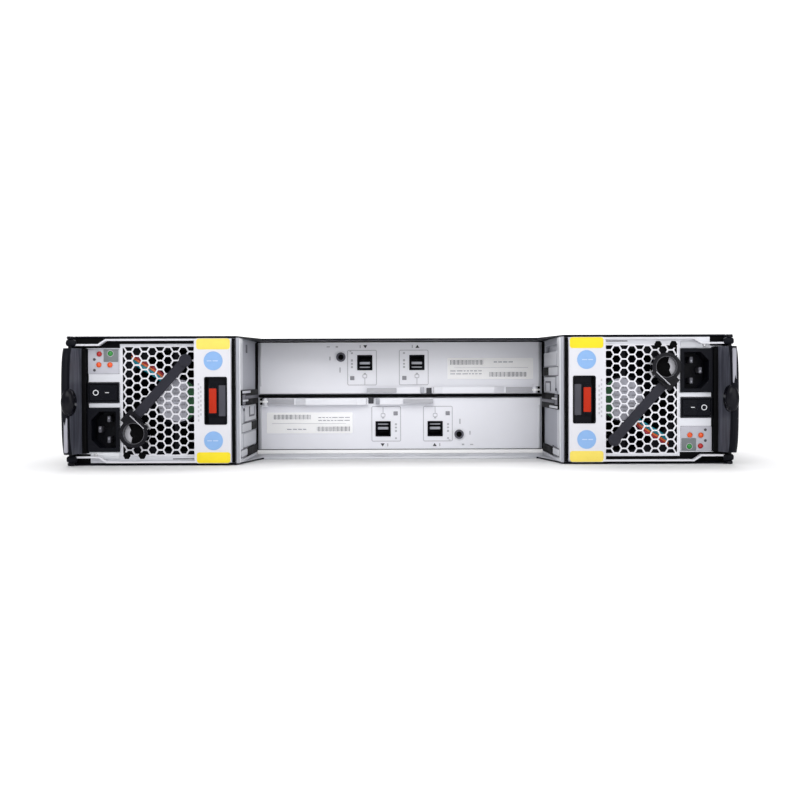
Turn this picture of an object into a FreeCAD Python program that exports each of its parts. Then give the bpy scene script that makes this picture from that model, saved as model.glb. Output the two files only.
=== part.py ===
import FreeCAD, Part
import math
import os
import re
import Sketcher
from FreeCAD import Placement, Rotation, Vector

# Two-unit rack disk shelf.  X runs across the shelf, Y from the rear (minus) to the
# drive side (plus) and Z up.  The origin is under the middle of the whole shelf.
# Sizes are millimetres.  "rise" and "drop" are measured from a module's middle.
SIZES = (
    # chassis
    ("body_width", 443.0), ("body_height", 86.4), ("body_length", 577.6), ("sheet", 1.2),
    ("rear_face", -290.0), ("recess_depth", 100.0), ("base_lip", 3.4),
    ("ear_width", 20.0), ("ear_height", 87.9), ("ear_sheet", 2.0),
    ("rack_hole_offset", 11.05), ("rack_hole_spread", 76.2), ("rack_slot_width", 10.3),
    ("rack_slot_height", 6.8), ("cap_depth", 27.7), ("cap_height", 62.0), ("cap_wall", 1.8),
    # walls between the power bays and the input/output bay
    ("bay_half", 107.5), ("bay_wall", 2.0), ("wall_slot_length", 66.0), ("wall_slot_inset", 20.0),
    ("wall_slot_height", 5.2), ("wall_slot_rise", 17.8), ("upper_slot_rise", 34.8),
    ("latch_plate", 1.8), ("latch_plate_height", 11.0), ("latch_strip_height", 3.7),
    ("wall_panel_height", 23.6), ("wall_panel_rise", 19.3), ("wall_panel_depth", 0.8),
    ("wall_rim", 8.0), ("plate_recess", 60.0), ("plate_corner", 9.0), ("shelf_setback", 2.0),
    ("sill_lip", 3.0), ("runner_width", 12.0),
    # midplane and drive bays
    ("midplane_y", 118.0), ("midplane_board", 2.4), ("columns", 4), ("rows", 3),
    ("divider", 1.0), ("shelf", 0.8), ("drive_socket_width", 42.0),
    ("drive_socket_height", 7.0), ("cage_gap", 14.0), ("cage_setback", 4.0), ("cage_rim", 18.0),
    ("module_socket_width", 52.0), ("module_socket_depth", 12.0),
    ("module_socket_height", 9.0), ("tongue_width", 48.0),
    # running clearances
    ("fit", 0.5), ("slack", 0.3), ("pin_fit", 0.1), ("io_fit", 2.8),
    # drive carriers
    ("bezel_front", 300.0), ("bezel_depth", 17.0), ("rail_width", 3.4), ("drive_play", 0.38),
    ("drive_length", 147.0), ("rail_height", 20.0),
    ("vent_height", 3.2), ("vent_pitch", 8.0), ("vent_count", 2), ("carrier_pivot_inset", 7.0),
    ("handle_height", 9.0), ("handle_end_inset", 9.4), ("handle_depth", 3.0), ("handle_lug", 2.0),
    ("handle_hook", 2.0),
    # power and cooling module
    ("power_end_gap", 18.0), ("case_wall", 1.0), ("column_inset", 21.9),
    ("window_width", 20.8), ("window_height", 16.7), ("window_rise", 26.4), ("window_depth", 3.0),
    ("inlet_width", 21.4), ("inlet_height", 29.6), ("inlet_drop", 19.2), ("inlet_step", 1.0),
    ("inlet_proud", 1.4), ("inlet_depth", 22.0), ("socket_width", 16.4), ("socket_height", 24.4),
    ("socket_corner", 5.5), ("socket_depth", 17.0), ("pin_width", 4.0), ("pin_thick", 2.0),
    ("pin_length", 10.0), ("pin_spread", 7.0), ("earth_offset", 4.0), ("rocker_width", 18.0),
    ("rocker_height", 10.6), ("rocker_rise", 5.6), ("rocker_slope", 0.95), ("rocker_frame", 0.9),
    ("rocker_gap", 0.5), ("rocker_proud", 1.4), ("rocker_skirt", 2.0), ("rocker_belly", 7.5),
    # punched air grille
    ("grille_gap", 1.3), ("grille_margin", 24.2), ("grille_rim", 4.5),
    ("cell_flats", 5.0), ("cell_web", 0.98),
    # fan
    ("fan_clear", 1.2), ("fan_margin", 4.0), ("fan_depth", 24.0), ("fan_gap", 5.0),
    ("fan_rim", 1.5), ("blade_gap", 2.0), ("hub_radius", 15.7), ("hub_depth", 3.0),
    ("rotor_hub", 14.5), ("shaft_radius", 3.0), ("blade_count", 7), ("blade_twist", 34.0),
    ("blade_sheet", 1.6), ("blade_width", 19.5), ("strut", 3.0),
    # power module's board
    ("board", 1.6), ("board_rise", 4.0), ("post", 5.0), ("board_inset", 5.9),
    ("board_back_gap", 6.0), ("board_end_gap", 4.0), ("post_inset", 8.0),
    ("sink_width", 14.0), ("sink_start", 30.0), ("sink_end", 40.0),
    # bail handle, its latch and the side grip that carries it
    ("bail_margin", 2.2), ("bail_width", 24.3), ("bail_sheet", 2.2), ("bail_corner", 2.5),
    ("arm_sheet", 1.2), ("arm_depth", 5.0), ("arm_inset_inner", 4.8), ("arm_inset_outer", 1.5),
    ("arm_bend", 24.0), ("arm_slant", 5.0), ("arm_overlap", 2.0), ("eye_radius", 2.4),
    ("pivot_radius", 1.4), ("eye_height", 4.0),
    ("aperture_width", 14.4), ("aperture_height", 31.0), ("aperture_inset", 2.8),
    ("latch_width", 11.3), ("latch_height", 21.0), ("latch_tab", 5.1), ("latch_proud", 1.0),
    ("latch_gap", 0.9), ("latch_wing", 2.5),
    ("grip_base", 1.6), ("grip_inset", 0.2), ("grip_width", 12.4), ("grip_end", 8.2),
    ("grip_reach", 25.3), ("grip_tip", 5.5), ("grip_taper", 5.0), ("thumb_inset", 2.0),
    ("thumb_width", 8.3), ("thumb_height", 21.6), ("thumb_drop", 1.2), ("thumb_corner", 2.6),
    ("thumb_proud", 1.6),
    ("lug_width", 5.2), ("lug_sheet", 2.2),
    # cable strap and clamp
    ("strap_width", 6.5), ("strap_sheet", 1.2), ("strap_anchor_x", 33.0),
    ("strap_anchor_rise", 27.0), ("strap_fall", 43.5), ("strap_end_gap", 5.3),
    ("strap_tail", 1.5), ("anchor_radius", 4.2),
    ("clamp_radius", 9.5), ("clamp_wall", 2.2), ("clamp_length", 8.0), ("clamp_foot", 10.0),
    ("clamp_drop", 7.5),
    # input/output module
    ("io_floor", 5.0), ("io_top_gap", 0.6), ("io_gap", 3.4), ("io_face", 1.4),
    ("io_end_gap", 18.0), ("io_wall", 1.0), ("port_size", 11.3), ("port_wall", 0.9),
    ("port_proud", 0.6), ("port_depth", 22.0), ("port_cavity", 15.0), ("port_rise", 24.7),
    ("port_left", -26.2), ("port_right", 12.7), ("tongue", 1.2), ("jack_x", -44.0),
    ("jack_rise", 28.9), ("jack_radius", 3.4), ("jack_bore", 1.8), ("jack_proud", 1.6),
    ("jack_wall", 1.0), ("jack_length", 13.4), ("jack_bore_depth", 10.0), ("lever_rise", 4.1),
    ("lever_height", 5.0), ("lever_start", 24.0), ("lever_pivot_inset", 4.2), ("lever_depth", 4.0),
    ("lever_bow", 2.2), ("lever_gap", 0.4), ("lever_eye", 2.1), ("lever_pin", 1.2),
    ("lever_lug", 1.2), ("release_start", -24.5), ("release_end", 18.1), ("pad_width", 22.0),
)

DOC = FreeCAD.newDocument("DiskShelf")
SHEET = DOC.addObject("Spreadsheet::Sheet", "Sizes")
for row, (alias, value) in enumerate(SIZES, start=1):
    SHEET.set(f"A{row}", alias)
    SHEET.set(f"B{row}", str(value))
    SHEET.setAlias(f"B{row}", alias)
DOC.recompute()
NAMES = {alias for alias, _ in SIZES}
NODES = []

# Places shared by several pieces, in the sheet's own names.
MID = "body_height / 2"
INNER_HALF = "(body_width / 2 - sheet)"
TOP_INNER = "(body_height - sheet)"
CAGE_FRONT = "(rear_face + body_length)"
POWER_LEFT = "(-body_width / 2 + sheet + fit)"
POWER_RIGHT = "(-bay_half - bay_wall - fit)"
POWER_HALF = "(body_height / 2 - sheet - fit)"
POWER_END = "(midplane_y - power_end_gap)"
COLUMN_X = f"({POWER_LEFT} + column_inset)"
FAN_LEFT = f"({COLUMN_X} + inlet_width / 2 + fan_clear)"
FAN_RIGHT = f"({POWER_RIGHT} - fan_margin)"
FAN_X = f"(({FAN_LEFT} + {FAN_RIGHT}) / 2)"
FAN_RADIUS = f"(min(({FAN_RIGHT} - {FAN_LEFT}) / 2; {POWER_HALF} - case_wall) - fan_rim)"
GRILLE_LEFT = f"({COLUMN_X} + window_width / 2 + grille_gap)"
GRILLE_RIGHT = f"({POWER_RIGHT} - grille_margin)"
GRILLE_HALF = f"({POWER_HALF} - grille_rim)"
BAIL_RIGHT = f"({POWER_RIGHT} - bail_margin)"
PIVOT_X = "(-body_width / 2 + lug_width / 2)"
PIVOT_Y = "(rear_face - grip_base - slack - eye_radius)"
BAIL_FRONT = f"({PIVOT_Y} - arm_depth / 2)"
GRIP_HALF = f"({MID} - grip_end)"
STRAP_RUN = f"(({POWER_RIGHT} - strap_anchor_x) - ({COLUMN_X} + inlet_width / 2 + strap_end_gap))"
STRAP_LENGTH = f"sqrt({STRAP_RUN} ^ 2 + strap_fall ^ 2)"
STRAP_TURN = f"180 deg - atan(strap_fall / {STRAP_RUN})"
IO_TOP = f"({TOP_INNER} - io_top_gap)"
IO_MID = f"((io_floor + {IO_TOP}) / 2)"
IO_BOTTOM = f"({IO_MID} + io_gap / 2)"
IO_Y = "(rear_face + recess_depth)"
IO_HALF = "(bay_half - io_fit)"
LEVER_PIVOT = f"({IO_HALF} - lever_pivot_inset)"
IO_END = "(midplane_y - io_end_gap)"
COLUMN_WIDTH = f"((2 * {INNER_HALF} - (columns - 1) * divider) / columns)"
ROW_HEIGHT = f"(({TOP_INNER} - sheet - (rows - 1) * shelf) / rows)"
CARRIER_X = f"(-{INNER_HALF} + {COLUMN_WIDTH} / 2)"
CARRIER_Z = f"(sheet + {ROW_HEIGHT} / 2)"
CARRIER_HALF = f"({COLUMN_WIDTH} / 2 - fit)"
CARRIER_RISE = f"({ROW_HEIGHT} / 2 - slack)"
DRIVE_HALF = f"({CARRIER_HALF} - rail_width)"
DRIVE_RISE = f"({CARRIER_RISE} - drive_play)"
BEZEL_BACK = "(bezel_front - bezel_depth)"
HANDLE_Y = "(bezel_front + slack)"
CARRIER_PIVOT_X = f"({CARRIER_X} - {CARRIER_HALF} + carrier_pivot_inset)"
CARRIER_PIVOT_Y = f"({HANDLE_Y} + handle_depth / 2 + slack)"


def size(alias):
    """The number that the sheet holds under this alias."""
    return float(SHEET.get(alias))


def on_sheet(expression):
    """Give plain words in an expression the sheet's name, where they are its aliases."""
    def named(match):
        return f"Sizes.{match[0]}" if match[0] in NAMES else match[0]
    return re.sub(r"[a-z_]+", named, str(expression))


def bind(target, prop, expression):
    """Tie a property to the sheet."""
    target.setExpression(prop, on_sheet(expression))


def worth(expression):
    """What an expression comes to with the sheet's present sizes."""
    return float(SHEET.evalExpression(on_sheet(expression)))


def box(x, y, z):
    """A block between a low and a high limit on each axis."""
    block = DOC.addObject("Part::Box", "Block")
    for prop, axis, (low, high) in (("Length", "x", x), ("Width", "y", y), ("Height", "z", z)):
        bind(block, prop, f"({high}) - ({low})")
        bind(block, f"Placement.Base.{axis}", low)
    return block


def about(middle, width):
    """The two limits of a width about its middle."""
    return (f"{middle} - ({width}) / 2", f"{middle} + ({width}) / 2")


TURNS = {"x": Rotation(Vector(0, 1, 0), 90), "y": Rotation(Vector(1, 0, 0), -90), "z": Rotation()}


def rod(axis, start, radius, length):
    """A round bar from its start point along one axis."""
    bar = DOC.addObject("Part::Cylinder", "Rod")
    bar.Placement = Placement(Vector(), TURNS[axis])
    for name, place in zip("xyz", start):
        bind(bar, f"Placement.Base.{name}", place)
    bind(bar, "Radius", radius)
    bind(bar, "Height", length)
    return bar


def fuse(*pieces):
    joined = DOC.addObject("Part::MultiFuse", "Joined")
    joined.Shapes = list(pieces)
    joined.Refine = True
    return joined


def common(*pieces):
    shared = DOC.addObject("Part::MultiCommon", "Shared")
    shared.Shapes = list(pieces)
    return shared


def cut(base, *tools):
    remainder = DOC.addObject("Part::Cut", "Remainder")
    remainder.Base = base
    remainder.Tool = tools[0] if len(tools) == 1 else fuse(*tools)
    remainder.Refine = True
    return remainder


def group(*pieces):
    """Separate solids that are kept as one node."""
    together = DOC.addObject("Part::Compound", "Together")
    together.Links = list(pieces)
    return together


def origin_item(body, role):
    return next(item for item in body.Origin.OriginFeatures if item.Role == role)


def draw(sketch, outline):
    """Draw a closed outline whose corners are tied to the sheet."""
    count = len(outline)
    starts = [Vector(worth(x), worth(y), 0) for x, y in outline]
    for i in range(count):
        sketch.addGeometry(Part.LineSegment(starts[i], starts[(i + 1) % count]), False)
    for i in range(count):
        sketch.addConstraint(Sketcher.Constraint("Coincident", i, 2, (i + 1) % count, 1))
    for i, corner in enumerate(outline):
        for kind, place, start in zip(("DistanceX", "DistanceY"), corner, starts[i]):
            number = sketch.addConstraint(Sketcher.Constraint(kind, -1, 1, i, 1, start))
            bind(sketch, f"Constraints[{number}]", place)


def prism(plane, outline, low, high):
    """A body padded from an outline on one of its origin planes."""
    body = DOC.addObject("PartDesign::Body", "Body")
    sketch = body.newObject("Sketcher::SketchObject", "Outline")
    sketch.AttachmentSupport = [(origin_item(body, f"{plane}_Plane"), "")]
    sketch.MapMode = "FlatFace"
    bind(sketch, "AttachmentOffset.Base.z", f"-({high})" if plane == "XZ" else low)
    draw(sketch, outline)
    pad = body.newObject("PartDesign::Pad", "Pad")
    pad.Profile = sketch
    bind(pad, "Length", f"({high}) - ({low})")
    return body


def round_edges(body, axis, radius, chosen=lambda middle: True):
    """Round the edges of a body that run along an axis."""
    DOC.recompute()
    tip = body.Tip
    names = []
    for number, edge in enumerate(tip.Shape.Edges, start=1):
        run = edge.Vertexes[-1].Point - edge.Vertexes[0].Point
        if run.Length and abs(run.normalize().dot(axis)) > 0.999 and chosen(edge.CenterOfMass):
            names.append(f"Edge{number}")
    rounding = body.newObject("PartDesign::Fillet", "Rounding")
    rounding.Base = (tip, names)
    bind(rounding, "Radius", radius)
    return body


def keep(piece, name):
    """Name a finished sub-part and list it."""
    piece.Label = name
    NODES.append(piece)
    return piece


def turned_copy(piece, name, middle):
    """A second one of a sub-part, turned half round about a line along Y at a height."""
    twin = group(piece)
    twin.Placement = Placement(Vector(), Rotation(Vector(0, 1, 0), 180))
    bind(twin, "Placement.Base.z", f"2 * ({middle})")
    return keep(twin, name)


def moved_copy(piece, name, shift_x, shift_z):
    twin = group(piece)
    bind(twin, "Placement.Base.x", shift_x)
    bind(twin, "Placement.Base.z", shift_z)
    return keep(twin, name)


# ---------------------------------------------------------------- chassis

# The plan of base and cover: a plate with the recess let into its rear.
RECESSED_PLAN = (
    ("-body_width / 2", "rear_face"), ("-bay_half - bay_wall", "rear_face"),
    ("-bay_half + plate_corner", "rear_face + plate_recess"),
    ("bay_half - plate_corner", "rear_face + plate_recess"),
    ("bay_half + bay_wall", "rear_face"), ("body_width / 2", "rear_face"),
    ("body_width / 2", CAGE_FRONT), ("-body_width / 2", CAGE_FRONT),
)


def across(side, near, far):
    """Limits along X between two distances from the middle of the shelf, on one side."""
    return (near, far) if side > 0 else (f"-({far})", f"-({near})")


def chassis_tray():
    """Base, side walls and rack flanges, with the slots for the rack's screws."""
    half, tip = "body_width / 2", "body_width / 2 + ear_width"
    flange_y = (f"{CAGE_FRONT} - ear_sheet", CAGE_FRONT)
    through = (f"{CAGE_FRONT} - 2 * ear_sheet", f"{CAGE_FRONT} + ear_sheet")
    straight = "(rack_slot_width - rack_slot_height)"
    pieces, holes = [prism("XY", RECESSED_PLAN, "0", "sheet")], []
    for side in (-1, 1):
        pieces.append(box(across(side, f"{half} - sheet", half), ("rear_face", CAGE_FRONT),
                          ("0", TOP_INNER)))
        pieces.append(box(across(side, half, tip), flange_y, ("0", "ear_height")))
        holes.append(box(about(f"{side} * ({half} + ear_width / 2)", "ear_width / 3"), through,
                         about("ear_height / 2", "cap_height / 8")))
        centre = f"({side} * ({half} + rack_hole_offset))"
        for level in (-1, 1):
            middle = f"(ear_height / 2 + {level} * rack_hole_spread / 2)"
            holes.append(box(about(centre, straight), through, about(middle, "rack_slot_height")))
            for end in (-1, 1):
                holes.append(rod("y", (f"{centre} + {end} * {straight} / 2", through[0], middle),
                                 "rack_slot_height / 2", "3 * ear_sheet"))
    keep(cut(fuse(*pieces), *holes), "chassis_tray")


def top_cover():
    keep(prism("XY", RECESSED_PLAN, TOP_INNER, "body_height"), "top_cover")


def bay_wall(side):
    """One wall beside the recess, with its slots, raised panel and latch plate."""
    proud = across(side, "bay_half - latch_plate", "bay_half")
    wall = box(across(side, "bay_half", "bay_half + bay_wall"), ("rear_face", "midplane_y"),
               ("sheet", TOP_INNER))
    latch = box(proud, ("rear_face + wall_rim", "rear_face + wall_rim + latch_plate_height"),
                about(MID, "latch_plate_height"))
    strip = box(proud, ("rear_face + wall_rim + latch_plate_height", f"{IO_Y} - wall_rim"),
                about(MID, "latch_strip_height"))
    raised = box(across(side, "bay_half - wall_panel_depth", "bay_half"),
                 ("rear_face + wall_rim", f"{IO_Y} - wall_rim"),
                 about(f"{MID} + {side} * wall_panel_rise", "wall_panel_height"))
    through = across(side, "bay_half - 2 * latch_plate", "bay_half + 2 * bay_wall")
    slot_y = ("rear_face + wall_slot_inset", "rear_face + wall_slot_inset + wall_slot_length")
    slots = [box(through, slot_y, about(f"{MID} + {side} * {rise}", "wall_slot_height"))
             for rise in ("wall_slot_rise", "upper_slot_rise")]
    return cut(fuse(wall, latch, strip, raised), *slots)


def module_bay_frame():
    shelf_z = (f"{IO_MID} - io_gap / 2 + slack", f"{IO_BOTTOM} - slack")
    middle_shelf = box(("-bay_half", "bay_half"), (f"{IO_Y} + shelf_setback", "midplane_y"), shelf_z)
    sill_z = ("sheet", "sheet + base_lip")
    lip = box(("-bay_half", "bay_half"), (IO_Y, f"{IO_Y} + sill_lip"), sill_z)
    runner_y = (f"{IO_Y} + sill_lip", "midplane_y")
    runners = [box(("-bay_half", "-bay_half + runner_width"), runner_y, sill_z),
               box(("bay_half - runner_width", "bay_half"), runner_y, sill_z)]
    keep(group(bay_wall(-1), bay_wall(1), middle_shelf, lip, *runners), "module_bay_frame")


def bay_left(column):
    """The left side of a drive column."""
    return f"(-{INNER_HALF} + {column} * ({COLUMN_WIDTH} + divider))"


def drive_cage():
    """Upright dividers, with a level shelf in each column between the rows."""
    along = ("midplane_y + midplane_board + cage_gap", f"{CAGE_FRONT} - cage_setback")
    plates = []
    for column in range(int(size("columns"))):
        left = bay_left(column)
        right = f"({left} + {COLUMN_WIDTH})"
        for row in range(1, int(size("rows"))):
            top = f"(sheet + {row} * ({ROW_HEIGHT} + shelf))"
            level = box((left, right), along, (f"{top} - shelf", top))
            window = box((f"{left} + cage_rim", f"{right} - cage_rim"),
                         (f"{along[0]} + cage_rim", f"{along[1]} - cage_rim"),
                         (f"{top} - shelf - 1", f"{top} + 1"))
            plates.append(cut(level, window))
        if column:
            plates.append(box((f"{left} - divider", left), along, ("sheet", TOP_INNER)))
    keep(group(*plates), "drive_cage")


def midplane():
    """The upright board, with the sockets of the drives in front and of the modules behind."""
    front = "(midplane_y + midplane_board)"
    plate = box((f"-{INNER_HALF}", INNER_HALF), ("midplane_y", front), ("sheet", TOP_INNER))
    vents, sockets = [], []
    for column in range(int(size("columns"))):
        centre = f"({bay_left(column)} + {COLUMN_WIDTH} / 2)"
        for row in range(int(size("rows"))):
            level = f"({CARRIER_Z} + {row} * ({ROW_HEIGHT} + shelf))"
            vents.append(box(about(centre, f"{COLUMN_WIDTH} - 2 * cage_rim"),
                             ("midplane_y - 1", f"{front} + 1"),
                             (f"{level} + drive_socket_height / 2 + 1", f"{level} + {ROW_HEIGHT} / 2 - 1")))
            sockets.append(box(about(centre, "drive_socket_width"),
                               (front, f"{BEZEL_BACK} - drive_length - slack"),
                               about(level, "drive_socket_height")))
    behind = ("midplane_y - module_socket_depth", "midplane_y")
    power_x = f"(-({POWER_LEFT} + {POWER_RIGHT}) / 2)"
    power_rise = f"({POWER_HALF} - case_wall - board_rise - board / 2)"
    io_rise = "(io_gap / 2 + io_wall + board_rise + board / 2)"
    for side in (-1, 1):
        sockets.append(box(about(f"{side} * {power_x}", "module_socket_width"), behind,
                           about(f"{MID} + {side} * {power_rise}", "module_socket_height")))
        sockets.append(box(about("0", "module_socket_width"), behind,
                           about(f"{IO_MID} + {side} * {io_rise}", "module_socket_height")))
    keep(group(cut(plate, *vents), *sockets), "midplane")


def ear_caps():
    """Hollow plastic end caps on the front flanges, between the rack screws."""
    caps = []
    bottom, top = "(ear_height - cap_height) / 2", "(ear_height + cap_height) / 2"
    inner, outer = "(body_width / 2 + fit)", "(body_width / 2 + ear_width - fit)"
    nose, cheek = f"({CAGE_FRONT} + cap_depth)", f"({CAGE_FRONT} + cap_depth * 0.6)"
    for side in (-1, 1):
        shell = prism("XY", [(f"{side} * ({x})", y) for x, y in (
            (inner, CAGE_FRONT), (inner, nose), (f"{outer} - ear_width / 2", nose),
            (outer, cheek), (outer, CAGE_FRONT))], bottom, top)
        round_edges(shell, Vector(0, 0, 1), "cap_wall",
                    lambda middle: middle.y > size("rear_face") + size("body_length") + 1)
        hollow = prism("XY", [(f"{side} * ({x})", y) for x, y in (
            (f"{inner} + cap_wall", f"{CAGE_FRONT} - 1"), (f"{inner} + cap_wall", f"{nose} - cap_wall"),
            (f"{outer} - ear_width / 2", f"{nose} - cap_wall"),
            (f"{outer} - cap_wall", f"{cheek} - cap_wall"),
            (f"{outer} - cap_wall", f"{CAGE_FRONT} - 1"))],
            f"{bottom} + cap_wall", f"{top} - cap_wall")
        caps.append(cut(shell, hollow))
    keep(group(*caps), "ear_caps")


# ---------------------------------------------------------------- drive carriers

def drive_carrier():
    """Bezel with two side rails, and the disk drive held between the rails."""
    left, right = f"{CARRIER_X} - {CARRIER_HALF}", f"{CARRIER_X} + {CARRIER_HALF}"
    bezel = box((left, right), (BEZEL_BACK, "bezel_front"),
                about(CARRIER_Z, f"2 * {CARRIER_RISE}"))
    along = (f"{BEZEL_BACK} - drive_length", BEZEL_BACK)
    rails = [box(limits, along, about(CARRIER_Z, "rail_height")) for limits in (
        (left, f"{CARRIER_X} - {DRIVE_HALF}"), (f"{CARRIER_X} + {DRIVE_HALF}", right))]
    vents = []
    for number in range(int(size("vent_count"))):
        level = f"({CARRIER_Z} + ({number} - (vent_count - 1) / 2) * vent_pitch)"
        vents.append(box((f"{left} + 2 * carrier_pivot_inset", f"{right} - carrier_pivot_inset"),
                         (f"{BEZEL_BACK} - fit", "bezel_front + fit"), about(level, "vent_height")))
    rise = "(handle_height / 2 + slack)"
    ear_y = ("bezel_front", f"{CARRIER_PIVOT_Y} + handle_depth / 2")
    lugs = [box(about(CARRIER_PIVOT_X, "2 * handle_depth"), ear_y, limits) for limits in (
        (f"{CARRIER_Z} + {rise}", f"{CARRIER_Z} + {rise} + handle_lug"),
        (f"{CARRIER_Z} - {rise} - handle_lug", f"{CARRIER_Z} - {rise}"))]
    drive = box(about(CARRIER_X, f"2 * {DRIVE_HALF}"), along, about(CARRIER_Z, f"2 * {DRIVE_RISE}"))
    return group(fuse(cut(bezel, *vents), *rails, *lugs), drive)


def carrier_handle():
    """A bar that swings out about its round end, with a finger hook at the free end."""
    end = f"({CARRIER_X} + {CARRIER_HALF} - handle_end_inset)"
    front = f"({CARRIER_PIVOT_Y} + handle_depth / 2)"
    back = f"({CARRIER_PIVOT_Y} - handle_depth / 2)"
    low, high = about(CARRIER_Z, "handle_height")
    bar = prism("XY", (
        (CARRIER_PIVOT_X, back), (end, back), (f"{end} + handle_hook", f"{front} + handle_hook"),
        (f"{end} - handle_hook / 2", f"{front} + handle_hook"), (f"{end} - 2 * handle_hook", front),
        (CARRIER_PIVOT_X, front),
    ), low, high)
    start = (CARRIER_PIVOT_X, CARRIER_PIVOT_Y, low)
    return fuse(bar, rod("z", start, "handle_depth / 2 + slack / 2", "handle_height"))


def carriers():
    first = {"drive_carrier": drive_carrier(), "carrier_handle": carrier_handle()}
    for name, piece in first.items():
        number = 0
        for row in range(int(size("rows"))):
            for column in range(int(size("columns"))):
                number += 1
                if number == 1:
                    keep(piece, f"{name}_01")
                else:
                    moved_copy(piece, f"{name}_{number:02d}", f"{column} * ({COLUMN_WIDTH} + divider)",
                               f"{row} * ({ROW_HEIGHT} + shelf)")


# ---------------------------------------------------------------- power and cooling module

def power_case():
    """Folded sheet box, open at its inner end, with the openings of its rear face."""
    shell = box((POWER_LEFT, POWER_RIGHT), ("rear_face", POWER_END), about(MID, f"2 * {POWER_HALF}"))
    hollow = box((f"{POWER_LEFT} + case_wall", f"{POWER_RIGHT} - case_wall"),
                 ("rear_face + case_wall", f"{POWER_END} + case_wall"),
                 about(MID, f"2 * ({POWER_HALF} - case_wall)"))
    through = ("rear_face - case_wall", "rear_face + 2 * case_wall")
    openings = [
        box((GRILLE_LEFT, GRILLE_RIGHT), through, about(MID, f"2 * {GRILLE_HALF}")),
        box(about(COLUMN_X, "window_width"), through,
            about(f"{MID} + window_rise", "window_height")),
        box(about(COLUMN_X, "rocker_width + 2 * rocker_gap"), through,
            about(f"{MID} + rocker_rise", "rocker_height + 2 * slack")),
        box(about(COLUMN_X, "inlet_width - 2 * inlet_step"), through,
            about(f"{MID} - inlet_drop", "inlet_height - 2 * inlet_step")),
    ]
    return cut(shell, hollow, *openings)


def rectangle(width, height):
    """An upright face about the origin."""
    x, z = width / 2, height / 2
    corners = [Vector(-x, 0, -z), Vector(x, 0, -z), Vector(x, 0, z), Vector(-x, 0, z)]
    return Part.Face(Part.makePolygon(corners + corners[:1]))


def hexagon(x, z, radius):
    """A six-sided cell with corners left and right."""
    corners = [Vector(x + radius * math.cos(math.radians(60 * k)), 0,
                      z + radius * math.sin(math.radians(60 * k))) for k in range(7)]
    return Part.Face(Part.makePolygon(corners))


def power_grille():
    """A plate punched with a staggered honeycomb, cut off at the plate's rim."""
    width, height = worth(f"{GRILLE_RIGHT} - {GRILLE_LEFT}"), worth(f"2 * {GRILLE_HALF}")
    flats, web = size("cell_flats"), size("cell_web")
    rim = web
    row_pitch = flats + web
    column_pitch = row_pitch * math.sqrt(3) / 2
    radius = flats / math.sqrt(3)
    plate = rectangle(width, height)
    window = rectangle(width - 2 * rim, height - 2 * rim)
    columns = int(width / column_pitch / 2) + 1
    rows = int(height / row_pitch / 2) + 1
    cells = [hexagon(column * column_pitch, (row + column % 2 / 2) * row_pitch, radius)
             for column in range(-columns, columns + 1) for row in range(-rows, rows + 1)]
    holes = [face for face in window.common(cells).Faces if face.Area > flats * web]
    sheet = plate.cut(holes).extrude(Vector(0, size("case_wall"), 0))
    grille = DOC.addObject("Part::Feature", "Grille")
    grille.Shape = sheet.Solids[0]
    bind(grille, "Placement.Base.x", f"({GRILLE_LEFT} + {GRILLE_RIGHT}) / 2")
    bind(grille, "Placement.Base.y", "rear_face")
    bind(grille, "Placement.Base.z", MID)
    return grille


def ac_inlet():
    """Three-pin inlet with its pins, and the frame that holds the rocker above it."""
    middle = f"({MID} - inlet_drop)"
    flange = box(about(COLUMN_X, "inlet_width"), ("rear_face - inlet_proud", "rear_face"),
                 about(middle, "inlet_height"))
    barrel = box(about(COLUMN_X, "inlet_width - 2 * inlet_step"),
                 ("rear_face", "rear_face + inlet_depth"),
                 about(middle, "inlet_height - 2 * inlet_step"))
    left, right = about(COLUMN_X, "socket_width")
    low, high = about(middle, "socket_height")
    floor_y = "(rear_face - inlet_proud + socket_depth)"
    socket = prism("XZ", (
        (f"{left} + socket_corner", low), (right, low), (right, high),
        (f"{left} + socket_corner", high), (left, f"{high} - socket_corner"),
        (left, f"{low} + socket_corner"),
    ), "rear_face - 2 * inlet_proud", floor_y)
    along = (f"{floor_y} - pin_length", floor_y)
    pins = [box(about(f"{COLUMN_X} + pin_thick", "pin_thick"), along,
                about(f"{middle} + {sign} * pin_spread", "pin_width")) for sign in (-1, 1)]
    pins.append(box(about(f"{COLUMN_X} - earth_offset", "pin_thick"), along,
                    about(middle, "pin_width")))
    level = f"{MID} + rocker_rise"
    rim_out = box(about(COLUMN_X, "rocker_width + 2 * (rocker_gap + rocker_frame)"),
                  ("rear_face - rocker_proud", "rear_face"),
                  about(level, "rocker_height + 2 * (slack + rocker_frame)"))
    rim_in = box(about(COLUMN_X, "rocker_width + 2 * rocker_gap"),
                 ("rear_face - 2 * rocker_proud", "rear_face + rocker_proud"),
                 about(level, "rocker_height + 2 * slack"))
    return group(fuse(cut(fuse(flange, barrel), socket), *pins), cut(rim_out, rim_in))


def power_switch():
    """A rocker with two faces that meet at a shallow angle, on a belly round its axis."""
    top, foot = "(rear_face - rocker_proud)", "rear_face + rocker_skirt"
    left, right = about(COLUMN_X, "rocker_width")
    level = about(f"{MID} + rocker_rise", "rocker_height")
    cap = prism("XY", (
        (left, f"{top} - rocker_slope"), (COLUMN_X, f"{top} + rocker_slope / 2"),
        (right, f"{top} + rocker_slope"), (right, foot), (left, foot),
    ), *level)
    belly = common(rod("z", (COLUMN_X, "rear_face", level[0]), "rocker_belly", "rocker_height"),
                   box(about(COLUMN_X, "2 * rocker_belly"), ("rear_face", "rear_face + rocker_belly"),
                       level))
    return fuse(cap, belly)


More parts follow.
